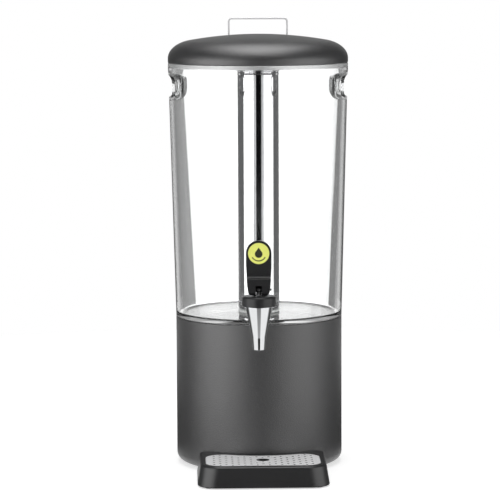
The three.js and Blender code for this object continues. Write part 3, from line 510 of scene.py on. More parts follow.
def drain_steel():
    """Blasted sheet steel, with painted shade on the walls of its holes and on its edges."""
    nodes = Nodes("drain_steel")
    wander = nodes.noise(400.0, 3.0, 0.5, ROLLED)
    # Painted shade: faces that do not look up, which are the walls of the holes and the plate's edges, are
    # drawn near black, and grain here carries this shade
    face = nodes.spread(nodes.parts(nodes.coordinates("Normal"))["Z"], 0, 1, 0.3, 0.9)
    grain = nodes.times(face, nodes.spread(wander, 0.95, 1))
    nodes.colour(grain, (0.03, 0.03, 0.03), (0.97, 0.97, 0.98))
    return nodes.set(Roughness=nodes.spread(wander, 0.45, 0.55), Metallic=0.1).material


def plastic(name, dark, light, low, high, scale, bump, ior=1.5):
    return grained(name, dark, light, low, high, (scale, 3.0, 0.55), bump, IOR=ior)


GRAIN = (1000.0, 2.0, 0.6), 0.8, 5 * GRAIN_DEPTH
GREY = grained("textured_grey", (0.022, 0.022, 0.023), (0.044, 0.044, 0.045), 0.28, 0.38, *GRAIN, IOR=2.0)
CLEAR = clear_plastic()
CHROME = metal("bright_chrome", (0.86, 0.87, 0.88), 0.03, 0.07)
POLISHED = metal("polished_steel", (0.6, 0.6, 0.61), 0.012, 0.03, 40.0)
BRUSHED = metal("brushed_steel", (0.92, 0.92, 0.93), 0.5, 0.62, 400.0, ROLLED, 0.05)
SATIN = metal("satin_steel", (0.95, 0.95, 0.96), 0.4, 0.5, 400.0, ROLLED, 0.05, 0.3)
DRAIN = drain_steel()
BLACK = plastic("black_plastic", (0.016, 0.016, 0.017), (0.022, 0.022, 0.023), 0.32, 0.42, 700.0, 0.12)
TRAY_BLACK = plastic("tray_black", (0.014, 0.014, 0.015), (0.020, 0.020, 0.021), 0.34, 0.42, 900.0, 0.12, 1.7)
RUBBER = plastic("black_rubber", (0.012, 0.012, 0.012), (0.02, 0.02, 0.02), 0.75, 0.9, 500.0, 0.3)
LIME = plastic("lime_green", (0.91, 0.95, 0.21), (0.95, 0.98, 0.24), 0.3, 0.4, 300.0, 0.05)
SIGN = plastic("sign_black", (0.025, 0.03, 0.015), (0.04, 0.045, 0.02), 0.4, 0.5, 300.0, 0.05)
MILKY = (0.74, 0.75, 0.74), (0.80, 0.81, 0.80), 0.35, 0.5, (120.0, 2.0)
SILICONE = grained("milky_silicone", *MILKY, Transmission_Weight=0.4, IOR=1.41)


# Housing


def housing():
    inner = BASE_RADIUS - BASE_WALL
    flange = BASE_RADIUS - BASE_FILLET - BASE_FLANGE
    shelf = BASE_TOP - SHELF_DROP
    profile = [
        (flange, BASE_BOTTOM, 0.5),
        (BASE_RADIUS, BASE_BOTTOM, BASE_FILLET),
        (BASE_RADIUS, BASE_TOP, EDGE_ROUND),
        (inner, BASE_TOP, EDGE_ROUND / 2),
        (inner, shelf),
        (inner - SHELF_WIDTH, shelf),
        (inner - SHELF_WIDTH, shelf - BASE_WALL),
        (inner, shelf - BASE_WALL - SHELF_WIDTH),
        (inner, BASE_BOTTOM + BASE_WALL, BASE_FILLET - BASE_WALL),
        (flange, BASE_BOTTOM + BASE_WALL),
    ]
    shell = turned("housing", profile, closed=True, steps=8)
    screw_circle = (BASE_RADIUS - BASE_FILLET - FIT_GAP + flange) / 2
    for i in range(4):
        angle = math.radians(45 + 90 * i)
        centre = (screw_circle * math.cos(angle), AXIS_Y + screw_circle * math.sin(angle))
        for radius, top in ((SCREW_HOLE, BASE_WALL + OVERCUT), (HEAD_HOLE, HEAD_DEPTH)):
            cut(shell, rod("hole", radius, BASE_BOTTOM - OVERCUT, BASE_BOTTOM + top, centre, SMALL))
    place(shell, "base", GREY, "housing_grey", "base_shell")


def support_ring():
    low, high = span("support_ring")
    inner = high.x - RING_WALL
    lip, floor_top = inner - RING_LIP, low.z + RING_FLOOR
    profile = [(lip, low.z), (high.x, low.z), (high.x, high.z)]
    profile += [(inner, high.z, 0.5), (inner, floor_top), (lip, floor_top, 0.5)]
    ring = turned("carrier_ring", profile, closed=True)
    place(ring, "base", BLACK, "black_plastic", "support_ring")


def round_foot(node, body, round_edge):
    low, high = span(node)
    centre = ((low.x + high.x) / 2, (low.y + high.y) / 2)
    radius = (high.x - low.x) / 2
    profile = [(0, low.z), (radius, low.z, round_edge), (radius, high.z), (0, high.z)]
    foot = turned(f"{node}_round", profile, centre, SMALL)
    place(foot, body, RUBBER, "black_rubber", node)


# Vessel


def vessel_outer(height):
    share = (height - VESSEL_BOTTOM) / (RIM_BOTTOM - VESSEL_BOTTOM)
    return BASE_RADIUS + (VESSEL_TOP_RADIUS - BASE_RADIUS) * share


def vessel_inner(height):
    share = (height - VESSEL_BOTTOM) / (RIM_BOTTOM - VESSEL_BOTTOM)
    return vessel_outer(height) - WALL_BOTTOM - (WALL_TOP - WALL_BOTTOM) * share


def bowed(value):
    """A circle's sine or cosine, drawn towards the corners of a rounded box."""
    return math.copysign(abs(value) ** (2 / GRIP_POWER), value)


def grip_body(name, side, offset):
    """The grip pocket, or with an offset the bulge round it: rounded at its inner end."""
    centre = RIM_BOTTOM - GRIP_BELOW_RIM
    end = vessel_outer(centre) - GRIP_DEPTH - offset
    bend = GRIP_ROUND + offset
    stations = []
    for i in range(9):
        angle = math.pi / 2 * (1 - i / 8)
        stations.append((end + bend * (1 - math.sin(angle)), offset - bend * (1 - math.cos(angle))))
    stations.append((VESSEL_TOP_RADIUS + RIM_PROUD + OVERCUT, offset))
    rings = []
    for x, grow in stations:
        ring = []
        for i in range(MEDIUM):
            angle = 2 * math.pi * i / MEDIUM
            y = (GRIP_HALF_WIDTH + grow) * bowed(math.cos(angle))
            z = (GRIP_HALF_HEIGHT + grow) * bowed(math.sin(angle))
            ring.append((side * x, AXIS_Y + y, centre + z))
        rings.append(ring)
    return loft(name, rings)


def vessel():
    lip_outer = LID_RADIUS - LID_WALL - 0.6
    rim_radius = VESSEL_TOP_RADIUS + RIM_PROUD
    mouth = vessel_inner(RIM_BOTTOM)
    inside_floor = VESSEL_BOTTOM + FLOOR
    boss_radius = TUBE_RADIUS + FIT_GAP - TUBE_ROUND - SEAT_GAP
    boss_top = inside_floor + TUBE_BOSS
    foot_outer = BASE_RADIUS - BASE_WALL - FIT_GAP - RING_WALL - FIT_GAP
    foot_inner = foot_outer - FOOT_WALL
    outside = [
        (BASE_RADIUS, VESSEL_BOTTOM, EDGE_ROUND),
        (VESSEL_TOP_RADIUS, RIM_BOTTOM, 20.0),
        (rim_radius, RIM_BOTTOM + 5.0, 20.0),
        (rim_radius, RIM_TOP, 0.5),
        (lip_outer, RIM_TOP),
        (lip_outer, LIP_TOP, 0.6),
    ]
    inside = [
        (mouth, LIP_TOP, 0.6),
        (mouth, RIM_BOTTOM, 400.0),
        (vessel_inner(inside_floor), inside_floor, 3.0),
        (boss_radius, inside_floor, 0.3),
        (boss_radius, boss_top, 0.5),
        (0, boss_top),
    ]
    underside = [
        (0, VESSEL_BOTTOM),
        (foot_inner, VESSEL_BOTTOM, 0.8),
        (foot_inner, vessel_low.z, 1.0),
        (foot_outer, vessel_low.z, 1.0),
        (foot_outer, VESSEL_BOTTOM, 0.8),
    ]
    body = turned("vessel", underside + outside + inside, steps=5)
    for side in (-1, 1):
        filled = turned("filled", [(0, VESSEL_BOTTOM)] + outside + [(0, LIP_TOP)], steps=5)
        bulge = cut(grip_body("bulge", side, GRIP_WALL), filled, "INTERSECT")
        cut(body, bulge, "UNION")
        cut(body, grip_body("pocket", side, 0.0))
    pad_front = vessel_outer(SHANK_LEVEL) + 1.2
    pad_back = vessel_inner(SHANK_LEVEL) - 2.0
    profile = [(0, pad_back), (14.0, pad_back, 0.5), (14.0, pad_front, 0.8), (0, pad_front)]
    pad = along_y(turned("pad", profile, (0, 0), MEDIUM), SHANK_LEVEL)
    cut(body, moved(pad, AXIS_Y), "UNION")
    hole = rod("hole", SHANK_RADIUS + FIT_GAP, pad_back - OVERCUT, pad_front + OVERCUT)
    cut(body, moved(along_y(hole, SHANK_LEVEL), AXIS_Y))
    place(shaded(body, 28.0), "container", CLEAR, "clear_plastic", "container")


# Tap


def tap_ring(name, node, material, slot):
    """A washer round the shank, with the size and the place of its node."""
    low, high = span(node)
    outer = (high.x - low.x) / 2
    inner = SHANK_RADIUS + FIT_GAP
    profile = [(inner, -high.y), (outer, -high.y, 0.3), (outer, -low.y, 0.3), (inner, -low.y)]
    ring = turned(name, profile, (0, 0), MEDIUM, closed=True)
    place(along_y(ring, SHANK_LEVEL), "container", material, slot, node)


def tap_nut():
    low, high = span("tap_nut")
    corner = (high.x - low.x) / 2
    hexagon = [(x, z + SHANK_LEVEL) for x, z in arc(0, 0, corner, 0, 300, 5)]
    nut = prism("shank_nut", hexagon, "y", low.y, high.y)
    crown = [(0, -high.y), (corner - 1.2, -high.y), (corner + 0.2, -high.y + 1.0)]
    crown += [(corner + 0.2, -low.y - 1.0), (corner - 1.2, -low.y), (0, -low.y)]
    cut(nut, along_y(lathe("crown", crown, (0, 0), MEDIUM), SHANK_LEVEL), "INTERSECT")
    bore = rod("bore", SHANK_RADIUS + FIT_GAP, -high.y - OVERCUT, -low.y + OVERCUT)
    cut(nut, along_y(bore, SHANK_LEVEL))
    place(nut, "container", POLISHED, "polished_steel", "tap_nut")


def tap_casting():
    high = span("tap_body")[1]
    centre = (0.0, TAP_Y)
    outside = [
        (0, NOZZLE_BOTTOM),
        (7.65, NOZZLE_BOTTOM, 0.5),
        (8.9, CONE_BOTTOM, 2.5),
        (16.8, CONE_TOP, 0.6),
        (NECK_RADIUS, CONE_TOP),
        (NECK_RADIUS, high.z, 0.4),
        (0, high.z),
    ]
    chamber = [
        (0, NOZZLE_BOTTOM - OVERCUT),
        (BORE_RADIUS, NOZZLE_BOTTOM - OVERCUT),
        (BORE_RADIUS, CONE_BOTTOM + SEAT_GAP),
        (SEAT_RADIUS, CONE_BOTTOM + SEAT_RISE),
        (11.2, SHANK_LEVEL),
        (11.5, CONE_TOP),
        (11.5, high.z + OVERCUT),
        (0, high.z + OVERCUT),
    ]
    casting = turned("tap_casting", outside, centre, MEDIUM, steps=6)
    face = span("tap_gasket_outer")[0].y - SEAT_GAP
    shank = rod("shank", SHANK_RADIUS, -high.y, -TAP_Y)
    cut(casting, along_y(shank, SHANK_LEVEL), "UNION")
    profile = [(0, -face), (13.2, -face, 0.4), (13.2, -face + 3.0, 0.9), (0, -face + 3.0)]
    flange = turned("flange", profile, (0, 0), MEDIUM)
    cut(casting, along_y(flange, SHANK_LEVEL), "UNION")
    cut(casting, turned("chamber", chamber, centre, MEDIUM))
    cut(casting, along_y(rod("bore", BORE_RADIUS, -high.y - OVERCUT, -TAP_Y), SHANK_LEVEL))
    place(shaded(casting, 30.0), "container", CHROME, "tap_chrome", "tap_body")


def bonnet():
    bottom, top = collar_low.z, collar_high.z
    radius, hole, chamber, thread = 20.8, 3.4, 7.0, NECK_RADIUS + FIT_GAP
    roof = top - 3.9
    thread_top = CONE_TOP + NECK_RISE + SEAT_GAP
    profile = [
        (thread, bottom),
        (radius, bottom, 0.5),
        (radius, top, 3.0),
        (hole, top, 0.3),
        (hole, roof),
        (chamber, roof),
        (chamber, thread_top),
        (thread, thread_top),
    ]
    collar = turned("bonnet", profile, (0, TAP_Y), MEDIUM, closed=True, steps=6)
    place(collar, "container", BLACK, "black_plastic", "tap_collar")


def stem():
    foot = span("valve_stem")[0].z
    flange = CONE_BOTTOM + CUP_GAP + 11.0 + SEAT_GAP
    flange_top = flange + 1.2
    join = -math.degrees(math.acos(STEM_RADIUS / STEM_HEAD))
    profile = [(0, foot), (STEM_RADIUS, foot), (STEM_RADIUS, flange)]
    profile += [(STEM_FLANGE, flange), (STEM_FLANGE, flange_top), (STEM_RADIUS, flange_top)]
    profile += arc(0, PIN_LEVEL, STEM_HEAD, join, 90, 12)
    profile[-1] = (0, profile[-1][1])
    body = lathe("stem", profile, (0, TAP_Y), SMALL)
    # The head is flat on both sides, so that it goes into the lever's slot
    near, far = 3.2, 9.0
    bottom, top = (flange_top + PIN_LEVEL) / 2, PIN_LEVEL + far
    for side in (-1, 1):
        cut(body, block("flat", side * near, side * far, bottom, top, TAP_Y - far, TAP_Y + far))
    cut(body, along_x(rod("eye", PIN_HOLE, -far, far, sides=SMALL), TAP_Y, PIN_LEVEL))
    place(body, "valve_stem", POLISHED, "polished_steel", "valve_stem")


def seat_cup():
    low, high = span("valve_seat")
    slope = (SEAT_RADIUS - BORE_RADIUS) / SEAT_RISE
    outer, pocket, pocket_floor = SEAT_RADIUS - CUP_GAP, 3.15, high.z - 5.75
    profile = [
        (0, low.z),
        (BORE_RADIUS + slope * (low.z - CONE_BOTTOM) - CUP_GAP, low.z, 0.4),
        (outer, CONE_BOTTOM + SEAT_RISE + CUP_GAP, 0.4),
        (outer, high.z, 0.6),
        (pocket, high.z),
        (pocket, pocket_floor),
        (0, pocket_floor),
    ]
    cup = turned("seat_cup", profile, (0, TAP_Y), MEDIUM)
    place(cup, "valve_stem", SILICONE, "clear_silicone", "valve_seat")


def return_spring():
    """The wound spring over the stem's flange."""
    low, high = span("valve_spring")
    wire, coil, turns, steps, lifted, spare = 0.58, 5.0, 6, 32, 3.0, 0.04
    bottom, top = low.z + wire + spare, high.z - wire - spare
    upward = Vector((0, 0, 1))
    rings = []
    for i in range(turns * steps + 1):
        turn = 2 * math.pi * i / steps
        outward = Vector((math.cos(turn), math.sin(turn), 0))
        centre = Vector((0, TAP_Y, bottom + (top - bottom) * i / (turns * steps))) + outward * coil
        angles = [2 * math.pi * j / 12 for j in range(12)]
        rings.append([centre + (outward * math.cos(a) + upward * math.sin(a)) * wire for a in angles])
    spring = loft("return_spring", rings)
    place(spring, "container", POLISHED, "polished_steel", "valve_spring")
    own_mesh(spring)


def cross_pin():
    left, right = pin_low.x, pin_high.x
    profile = [(0, left), (PIN_RADIUS, left, 0.2), (PIN_RADIUS, right, 0.4), (0, right)]
    pin = along_x(turned("cross_pin", profile, (0, 0), SMALL), TAP_Y, PIN_LEVEL)
    place(pin, "valve_stem", POLISHED, "polished_steel", "lever_pin")


# Lever

LEVER_CAM = 6.5
LEVER_WIDTH = 31.0
LEVER_TOP_RISE = 44.7
LEVER_SHOULDER_RISE = 30.0
LEVER_WAIST = (6.0, 28.4)
LEVER_FOOT = 26.0
LEVER_FOOT_ROUND = 5.0
LEVER_FRONT = -10.8
LEVER_LEDGE = 14.5
LEDGE_ROUND = 1.2
LEDGE_FILLET = 4.0
PADDLE_FRONT = -4.5
PADDLE_BACK = 2.5
HUB_BACK = 7.0
SLOT_RADIUS = 5.2
SLOT_HALF = 3.8
DISC_RADIUS = 12.9
DISC_RECESS = 0.8
CAM_GROWTH = 3.0 / math.radians(50)  # the stem's whole lift over the lever's whole tilt


def lever_half_width(rise):
    points = [(-LEVER_CAM, LEVER_FOOT), LEVER_WAIST, (LEVER_SHOULDER_RISE, LEVER_WIDTH)]
    low, high = (points[0], points[1]) if rise < LEVER_WAIST[0] else (points[1], points[2])
    share = (rise - low[0]) / (high[0] - low[0])
    return (low[1] + (high[1] - low[1]) * share) / 2


def lever():
    """The paddle: its outline from the front, cut to its outline from the side, with slot and recess."""
    corner = LEVER_FOOT / 2 - LEVER_FOOT_ROUND
    right = [(corner, -2 * LEVER_CAM)]
    right += arc(corner, LEVER_FOOT_ROUND - LEVER_CAM, LEVER_FOOT_ROUND, -90, 0, 10)
    right.append((lever_half_width(LEVER_WAIST[0]), LEVER_WAIST[0]))
    right.append((lever_half_width(LEVER_SHOULDER_RISE), LEVER_SHOULDER_RISE))
    front = right + arc(0, LEVER_TOP_RISE, LEVER_WIDTH / 2, 0, 180, 40) + mirrored(right)
    front = [(x, z + PIN_LEVEL) for x, z in front]
    cam = []
    for i in range(31):
        angle = math.radians(75 * i / 30)
        radius = LEVER_CAM + CAM_GROWTH * angle
        cam.append((-radius * math.sin(angle), -radius * math.cos(angle)))
    top = LEVER_TOP_RISE + LEVER_WIDTH / 2
    side = arc(0, 0, LEVER_CAM, -20, -80, 8) + cam
    side += [(LEVER_FRONT, 0), (LEVER_FRONT, LEVER_LEDGE - LEDGE_ROUND)]
    side += arc(LEVER_FRONT + LEDGE_ROUND, LEVER_LEDGE - LEDGE_ROUND, LEDGE_ROUND, 180, 90, 4)
    side += arc(PADDLE_FRONT - LEDGE_FILLET, LEVER_LEDGE + LEDGE_FILLET, LEDGE_FILLET, -90, 0, 10)
    side += [(PADDLE_FRONT, top), (PADDLE_BACK, top), (PADDLE_BACK, 22.0), (HUB_BACK, 9.0), (HUB_BACK, 0)]
    side = [(y + TAP_Y, z + PIN_LEVEL) for y, z in side]
    body = prism("lever_paddle", front, "y", TAP_Y - 13, TAP_Y + 13)
    cut(body, prism("side", side, "x", -LEVER_WIDTH / 2 - 1, LEVER_WIDTH / 2 + 1), "INTERSECT")
    slot = [(-13.0, -2 * LEVER_CAM), (SLOT_RADIUS, -2 * LEVER_CAM)]
    slot += arc(0, 0, SLOT_RADIUS, 0, 90, 10) + [(-13.0, 5.6)]
    slot = [(y + TAP_Y, z + PIN_LEVEL) for y, z in slot]
    cut(body, prism("slot", slot, "x", -SLOT_HALF, SLOT_HALF))
    bevelled(body, 0.7, 3, 40.0, 50.0)
    cut(body, along_x(rod("eye", PIN_HOLE, -20, 20, sides=SMALL), TAP_Y, PIN_LEVEL))
    recess = rod("recess", DISC_RADIUS + 0.15, -PADDLE_FRONT - DISC_RECESS, 20.0)
    cut(body, moved(along_y(recess, PIN_LEVEL + LEVER_TOP_RISE), TAP_Y), sharp_degrees=40.0)
    place(body, "lever", BLACK, "black_plastic", "lever")


def lever_disc():
    """The green disc with its two dark marks, a drop over an arc, that stand out by a hair."""
    low, high = span("lever_disc")
    centre = (low.z + high.z) / 2
    profile = [(0, -high.y), (DISC_RADIUS, -high.y), (DISC_RADIUS, -low.y, 0.4), (0, -low.y)]
    disc = along_y(turned("button_disc", profile, (0, 0), MEDIUM), centre)
    place(disc, "lever", LIME, "lime_green", "lever_disc")
    drop = [(0.0, 7.2)] + arc(0, -0.6, 4.6, 28, -208, 26)
    ring = arc(0, 0, 9.6, -150, -30, 24) + arc(0, 0, 8.4, -30, -150, 24)
    for i, outline in enumerate((drop, ring)):
        sign = [(x, z + centre) for x, z in outline]
        mark = prism(f"button_mark_{i + 1}", sign, "y", low.y - 0.06, low.y + 0.3)
        place(mark, "lever", SIGN, "black_plastic")


# Cooling tube


def cooling_tube():
    bottom, top = tube_low.z, tube_high.z
    bead = tube_high.x
    inner = TUBE_RADIUS - TUBE_WALL
    profile = [
        (0, bottom),
        (TUBE_RADIUS, bottom, TUBE_ROUND),
        (TUBE_RADIUS, top - 2.4),
        (bead, top - 1.3, 0.8),
        (bead, top, 0.4),
        (inner, top),
        (inner, bottom + TUBE_WALL, TUBE_ROUND - TUBE_WALL),
        (0, bottom + TUBE_WALL),
    ]
    tube = turned("cooling_tube", profile, sides=128)
    place(tube, "ice_tube", POLISHED, "polished_steel", "ice_tube")
    low, high = span("ice_tube_foot")
    inner = TUBE_RADIUS - TUBE_ROUND + FIT_GAP
    ring = [(inner, low.z), (high.x, low.z, 0.4), (high.x, high.z, 0.4), (inner, high.z)]
    foot = turned("tube_foot", ring, sides=96, closed=True)
    place(foot, "ice_tube", SILICONE, "clear_silicone", "ice_tube_foot")


def tube_stopper():
    low, high = span("ice_tube_stopper")
    plug = TUBE_RADIUS - TUBE_WALL - 0.7
    groove, groove_half, cord, knob = plug - 1.4, 1.1, 0.75, 9.5
    flange_bottom = tube_high.z + SEAT_GAP
    flange_top = flange_bottom + 5.0
    ring = flange_bottom - 7.5
    profile = [
        (0, low.z),
        (plug, low.z, 0.8),
        (plug, ring - groove_half),
        (groove, ring - groove_half),
        (groove, ring + groove_half),
        (plug, ring + groove_half),
        (plug, flange_bottom),
        (high.x, flange_bottom, 0.6),
        (high.x, flange_top, 1.2),
        (knob - 2.0, flange_top, 1.5),
        (knob, high.z - 5.0, 2.0),
        (knob, high.z, 1.5),
        (0, high.z),
    ]
    stopper = turned("stopper", profile, sides=96)
    place(stopper, "ice_stopper", BLACK, "black_plastic", "ice_tube_stopper")
    seal = [(groove + SEAT_GAP + cord + x, ring + z) for x, z in arc(0, 0, cord, 0, 330, 11)]
    seal = lathe("stopper_seal", seal, sides=96, closed=True)
    place(seal, "ice_stopper", SILICONE, "clear_silicone", "ice_tube_seal")


# Lid


def dome(offset):
    """The lid's outer line from the skirt to its middle, drawn in by an offset."""
    steps = 24
    crown = LID_TOP - LID_BOTTOM - LID_SKIRT - LID_SHOULDER_RISE
    start = LID_BOTTOM + LID_SKIRT
    edge_radius = LID_RADIUS - LID_SHOULDER_IN
    edge = LID_TOP - crown
    slope = 2 * crown / edge_radius
    p0 = Vector((LID_RADIUS - offset, start))
    p1 = Vector((LID_RADIUS - offset, start + 11.0))
    p2 = Vector((edge_radius + 15.0, edge - slope * 15.0 - offset))
    p3 = Vector((edge_radius, edge - offset))
    points = []
    for i in range(steps + 1):
        t = i / steps
        s = 1 - t
        points.append(tuple(p0 * s**3 + p1 * 3 * s * s * t + p2 * 3 * s * t * t + p3 * t**3))
    for i in range(11, -1, -1):
        share = i / 12
        points.append((edge_radius * share, LID_TOP - crown * share**2 - offset))
    return points


def lid():
    skirt = LID_RADIUS - LID_WALL
    step_level = LIP_TOP + SEAT_GAP + 3.4 + SEAT_GAP
    step = skirt - LID_STEP_IN
    inside = [point for point in dome(LID_WALL) if point[0] < step - 0.5]
    edge = [
        inside[0],
        (step, step_level),
        (skirt, step_level),
        (skirt, LID_BOTTOM, 0.4),
        (LID_RADIUS, LID_BOTTOM, LID_EDGE_ROUND),
        dome(0)[0],
    ]
    shell = lathe("lid_dome", list(reversed(inside)) + softened(edge)[1:-1] + dome(0))
    leg = handle_high.x
    tab_end = leg - TAB_REACH
    tab_top = LID_TOP - TAB_DEPTH + STRIP_THICKNESS
    pad_top = LID_TOP - 3.0
    front, back = AXIS_Y - STRIP_HALF, AXIS_Y + STRIP_HALF
    for side in (-1, 1):
        left, right = sorted((side * tab_end, side * (tab_end + TAB_LENGTH)))
        cut(shell, block("pad", left, right, tab_top + SEAT_GAP, pad_top, front, back), "UNION")
        left, right = sorted((side * (leg - STRIP_THICKNESS - FIT_GAP), side * (leg + FIT_GAP)))
        slot = (tab_top - 5.0, LID_TOP + OVERCUT, front - FIT_GAP, back + FIT_GAP)
        cut(shell, block("slot", left, right, *slot))
        centre = (side * (tab_end + TAB_LENGTH / 2), AXIS_Y)
        cut(shell, rod("hole", SCREW_HOLE, tab_top - OVERCUT, pad_top + 0.25, centre, SMALL))
    place(shell, "lid", GREY, "housing_grey", "lid_shell")
    low, high = span("lid_seal")
    inner = step + FIT_GAP
    ring = [(inner, low.z, 0.6), (high.x, low.z, 0.6), (high.x, high.z, 0.4), (inner, high.z, 0.4)]
    seal = turned("lid_ring", ring, closed=True)
    place(seal, "lid", SILICONE, "clear_silicone", "lid_seal")


def lid_handle():
    half, top, tab = handle_high.x, handle_high.z, handle_low.z
    outer_bend, inner_bend = 5.0, 5.0 - STRIP_THICKNESS
    bend_x = half - outer_bend
    tab_end = half - TAB_REACH
    outer = [(tab_end, tab)]
    outer += arc(bend_x, tab + outer_bend, outer_bend, -90, 0, 10)
    outer += arc(bend_x, top - outer_bend, outer_bend, 0, 90, 12)
    inner = arc(bend_x, top - outer_bend, inner_bend, 90, 0, 12)
    inner += arc(bend_x, tab + outer_bend, inner_bend, 0, -90, 10)
    inner.append((tab_end, tab + STRIP_THICKNESS))
    outline = outer + mirrored(outer) + mirrored(inner) + inner
    strip = prism("handle_strip", outline, "y", AXIS_Y - STRIP_HALF, AXIS_Y + STRIP_HALF)
    bevelled(strip, 0.9, 4, 50.0, 50.0)
    for side in (-1, 1):
        centre = (side * (tab_end + TAB_LENGTH / 2), AXIS_Y)
        hole = rod("hole", SCREW_HOLE, tab - OVERCUT, tab + 2 * OVERCUT, centre, SMALL)
        cut(strip, hole, sharp_degrees=50.0)
    place(strip, "lid", SATIN, "polished_steel", "lid_handle")


# Drip tray

TRAY_TURN = math.radians(1.7)
TRAY_REACH = 88.0 + BASE_RADIUS
TRAY_HALF = 80.8
TRAY_DRAFT = 4.3
TRAY_TOP = tray_high.z
TRAY_BOTTOM = tray_low.z
TRAY_GAP = 0.8
TRAY_CORNER = 24.0
TRAY_REAR_CORNER = 6.0
TRAY_RIM = (9.0, 8.0)  # between the plate and the tray's edge, in front and behind
GRATE_HALF = 70.0
GRATE_CORNER = 20.0
GRATE_TOP = grate_high.z
GRATE_BOTTOM = grate_low.z
GRATE_EDGE = 0.15
GRATE_MARGIN = 5.0
DRAIN_RADIUS = 1.7
DRAIN_PITCH = (7.5, 13.0)
FINGER_RADIUS = 8.2
FINGER_REACH = BASE_RADIUS + 35.0


def rear_centre(half, rear, rear_corner):
    """The middle of the right rear corner's round, which touches the side and the round rear edge."""
    x = half - rear_corner
    return x, -math.sqrt((rear + rear_corner) ** 2 - x**2)


def tray_outline(half, front, rear, corner, rear_corner):
    """Plan outline round the housing's axis: straight front, rounded corners, round rear edge."""
    centre_x, centre_y = rear_centre(half, rear, rear_corner)
    tangent = math.degrees(math.atan2(-centre_y, -centre_x))
    rear_angle = math.degrees(math.atan2(centre_y, centre_x))
    right = arc(half - corner, -front + corner, corner, -90, 0, 14)
    right += arc(centre_x, centre_y, rear_corner, 0, tangent, 10)
    middle = arc(0, 0, rear, rear_angle, -180 - rear_angle, 30)[1:-1]
    return right + middle + mirrored(right)


def tray_ring(half, front, rear, corner, rear_corner, level):
    """The outline at a level, with the tray's turn about the housing's axis."""
    sine, cosine = math.sin(TRAY_TURN), math.cos(TRAY_TURN)
    outline = tray_outline(half, front, rear, corner, rear_corner)
    return [(x * cosine - y * sine, x * sine + y * cosine + AXIS_Y, level) for x, y in outline]


def tray_outer(level, inset):
    lean = TRAY_DRAFT * level / TRAY_TOP + inset
    sizes = TRAY_HALF - lean, TRAY_REACH - lean, BASE_RADIUS + TRAY_GAP + inset
    return tray_ring(*sizes, TRAY_CORNER - inset, TRAY_REAR_CORNER, level)


def grate_sizes(offset):
    front = TRAY_REACH - TRAY_DRAFT - TRAY_RIM[0] + offset
    rear = BASE_RADIUS + TRAY_GAP + TRAY_RIM[1] - offset
    corner = GRATE_CORNER + offset
    return GRATE_HALF + offset, front, rear, corner, corner


def tray():
    top_round, bottom_round = 2.6, 1.4
    rings = []
    for i in range(5):
        angle = math.radians(22.5 * i)
        inset = bottom_round * (1 - math.sin(angle))
        rings.append(tray_outer(TRAY_BOTTOM + bottom_round * (1 - math.cos(angle)), inset))
    for i in range(7):
        angle = math.radians(15 * i)
        level = TRAY_TOP - top_round * (1 - math.sin(angle))
        rings.append(tray_outer(level, top_round * (1 - math.cos(angle))))
    ledge = GRATE_BOTTOM - SEAT_GAP
    floor = TRAY_BOTTOM + 3.0
    steps = [
        (FIT_GAP + 0.5, TRAY_TOP),
        (FIT_GAP + 0.15, TRAY_TOP - 0.15),
        (FIT_GAP, TRAY_TOP - 0.5),
        (FIT_GAP, ledge),
        (-3.0, ledge),
        (-3.0, floor + 3.0),
        (-3.9, floor + 0.9),
        (-6.0, floor),
    ]
    rings += [tray_ring(*grate_sizes(offset), level) for offset, level in steps]
    place(loft("tray", rings, 40.0), "drip_tray", TRAY_BLACK, "tray_black", "tray_body")


def hole_fits(x, y):
    """Whether a drain hole stays clear of the plate's edges and of the finger hole."""
    half, front, rear, corner, rear_corner = grate_sizes(0)
    if min(half - abs(x), front + y, math.hypot(x, y) - rear) < GRATE_MARGIN:
        return False
    spare = GRATE_MARGIN / 2
    if math.hypot(x, y + FINGER_REACH) < FINGER_RADIUS + spare:
        return False
    front_x, front_y = max(0, abs(x) - (half - corner)), max(0, -y - (front - corner))
    if math.hypot(front_x, front_y) > corner - spare:
        return False
    centre_x, centre_y = rear_centre(half, rear, rear_corner)
    rear_x, rear_y = max(0, abs(x) - centre_x), max(0, y - centre_y)
    return rear_x == 0 or math.hypot(rear_x, rear_y) < rear_corner - spare


def grate():
    """The perforated plate, as a flat filled curve with round holes, raised to its thickness."""
    curve = bpy.data.curves.new("drain_plate", "CURVE")
    curve.dimensions = "2D"
    curve.fill_mode = "BOTH"
    curve.extrude = (GRATE_TOP - GRATE_BOTTOM) / 2 * MM - GRATE_EDGE * MM
    curve.bevel_depth = GRATE_EDGE * MM
    curve.bevel_resolution = 1
    outlines = [tray_outline(*grate_sizes(0)), arc(0, -FINGER_REACH, FINGER_RADIUS, 0, 350, 35)]
    pitch_x, pitch_y = DRAIN_PITCH
    half, front = grate_sizes(0)[:2]
    columns, rows = int(half // pitch_x), math.ceil(front / pitch_y)
    for column in range(-columns, columns + 1):
        for row in range(rows + 1):
            x = column * pitch_x
            y = -FINGER_REACH + (row - rows / 2) * pitch_y + (pitch_y / 2 if column % 2 else 0)
            if hole_fits(x, y):
                outlines.append(arc(x, y, DRAIN_RADIUS, 0, 330, 11))
    for outline in outlines:
        spline = curve.splines.new("POLY")
        spline.points.add(len(outline) - 1)
        for point, (x, y) in zip(spline.points, outline):
            point.co = (x * MM, y * MM, 0, 1)
        spline.use_cyclic_u = True
    shape = in_scene("drain_plate", curve)
    mesh = evaluated_mesh(shape)
    bpy.data.objects.remove(shape)
    middle = (GRATE_TOP + GRATE_BOTTOM) / 2 * MM
    mesh.transform(Matrix.Translation((0, AXIS_Y * MM, middle)) @ Matrix.Rotation(TRAY_TURN, 4, "Z"))
    plate = in_scene("drain_plate", joined(mesh, 1e-6))
    place(shaded(plate, 30.0), "grate", DRAIN, "brushed_steel", "tray_grate")


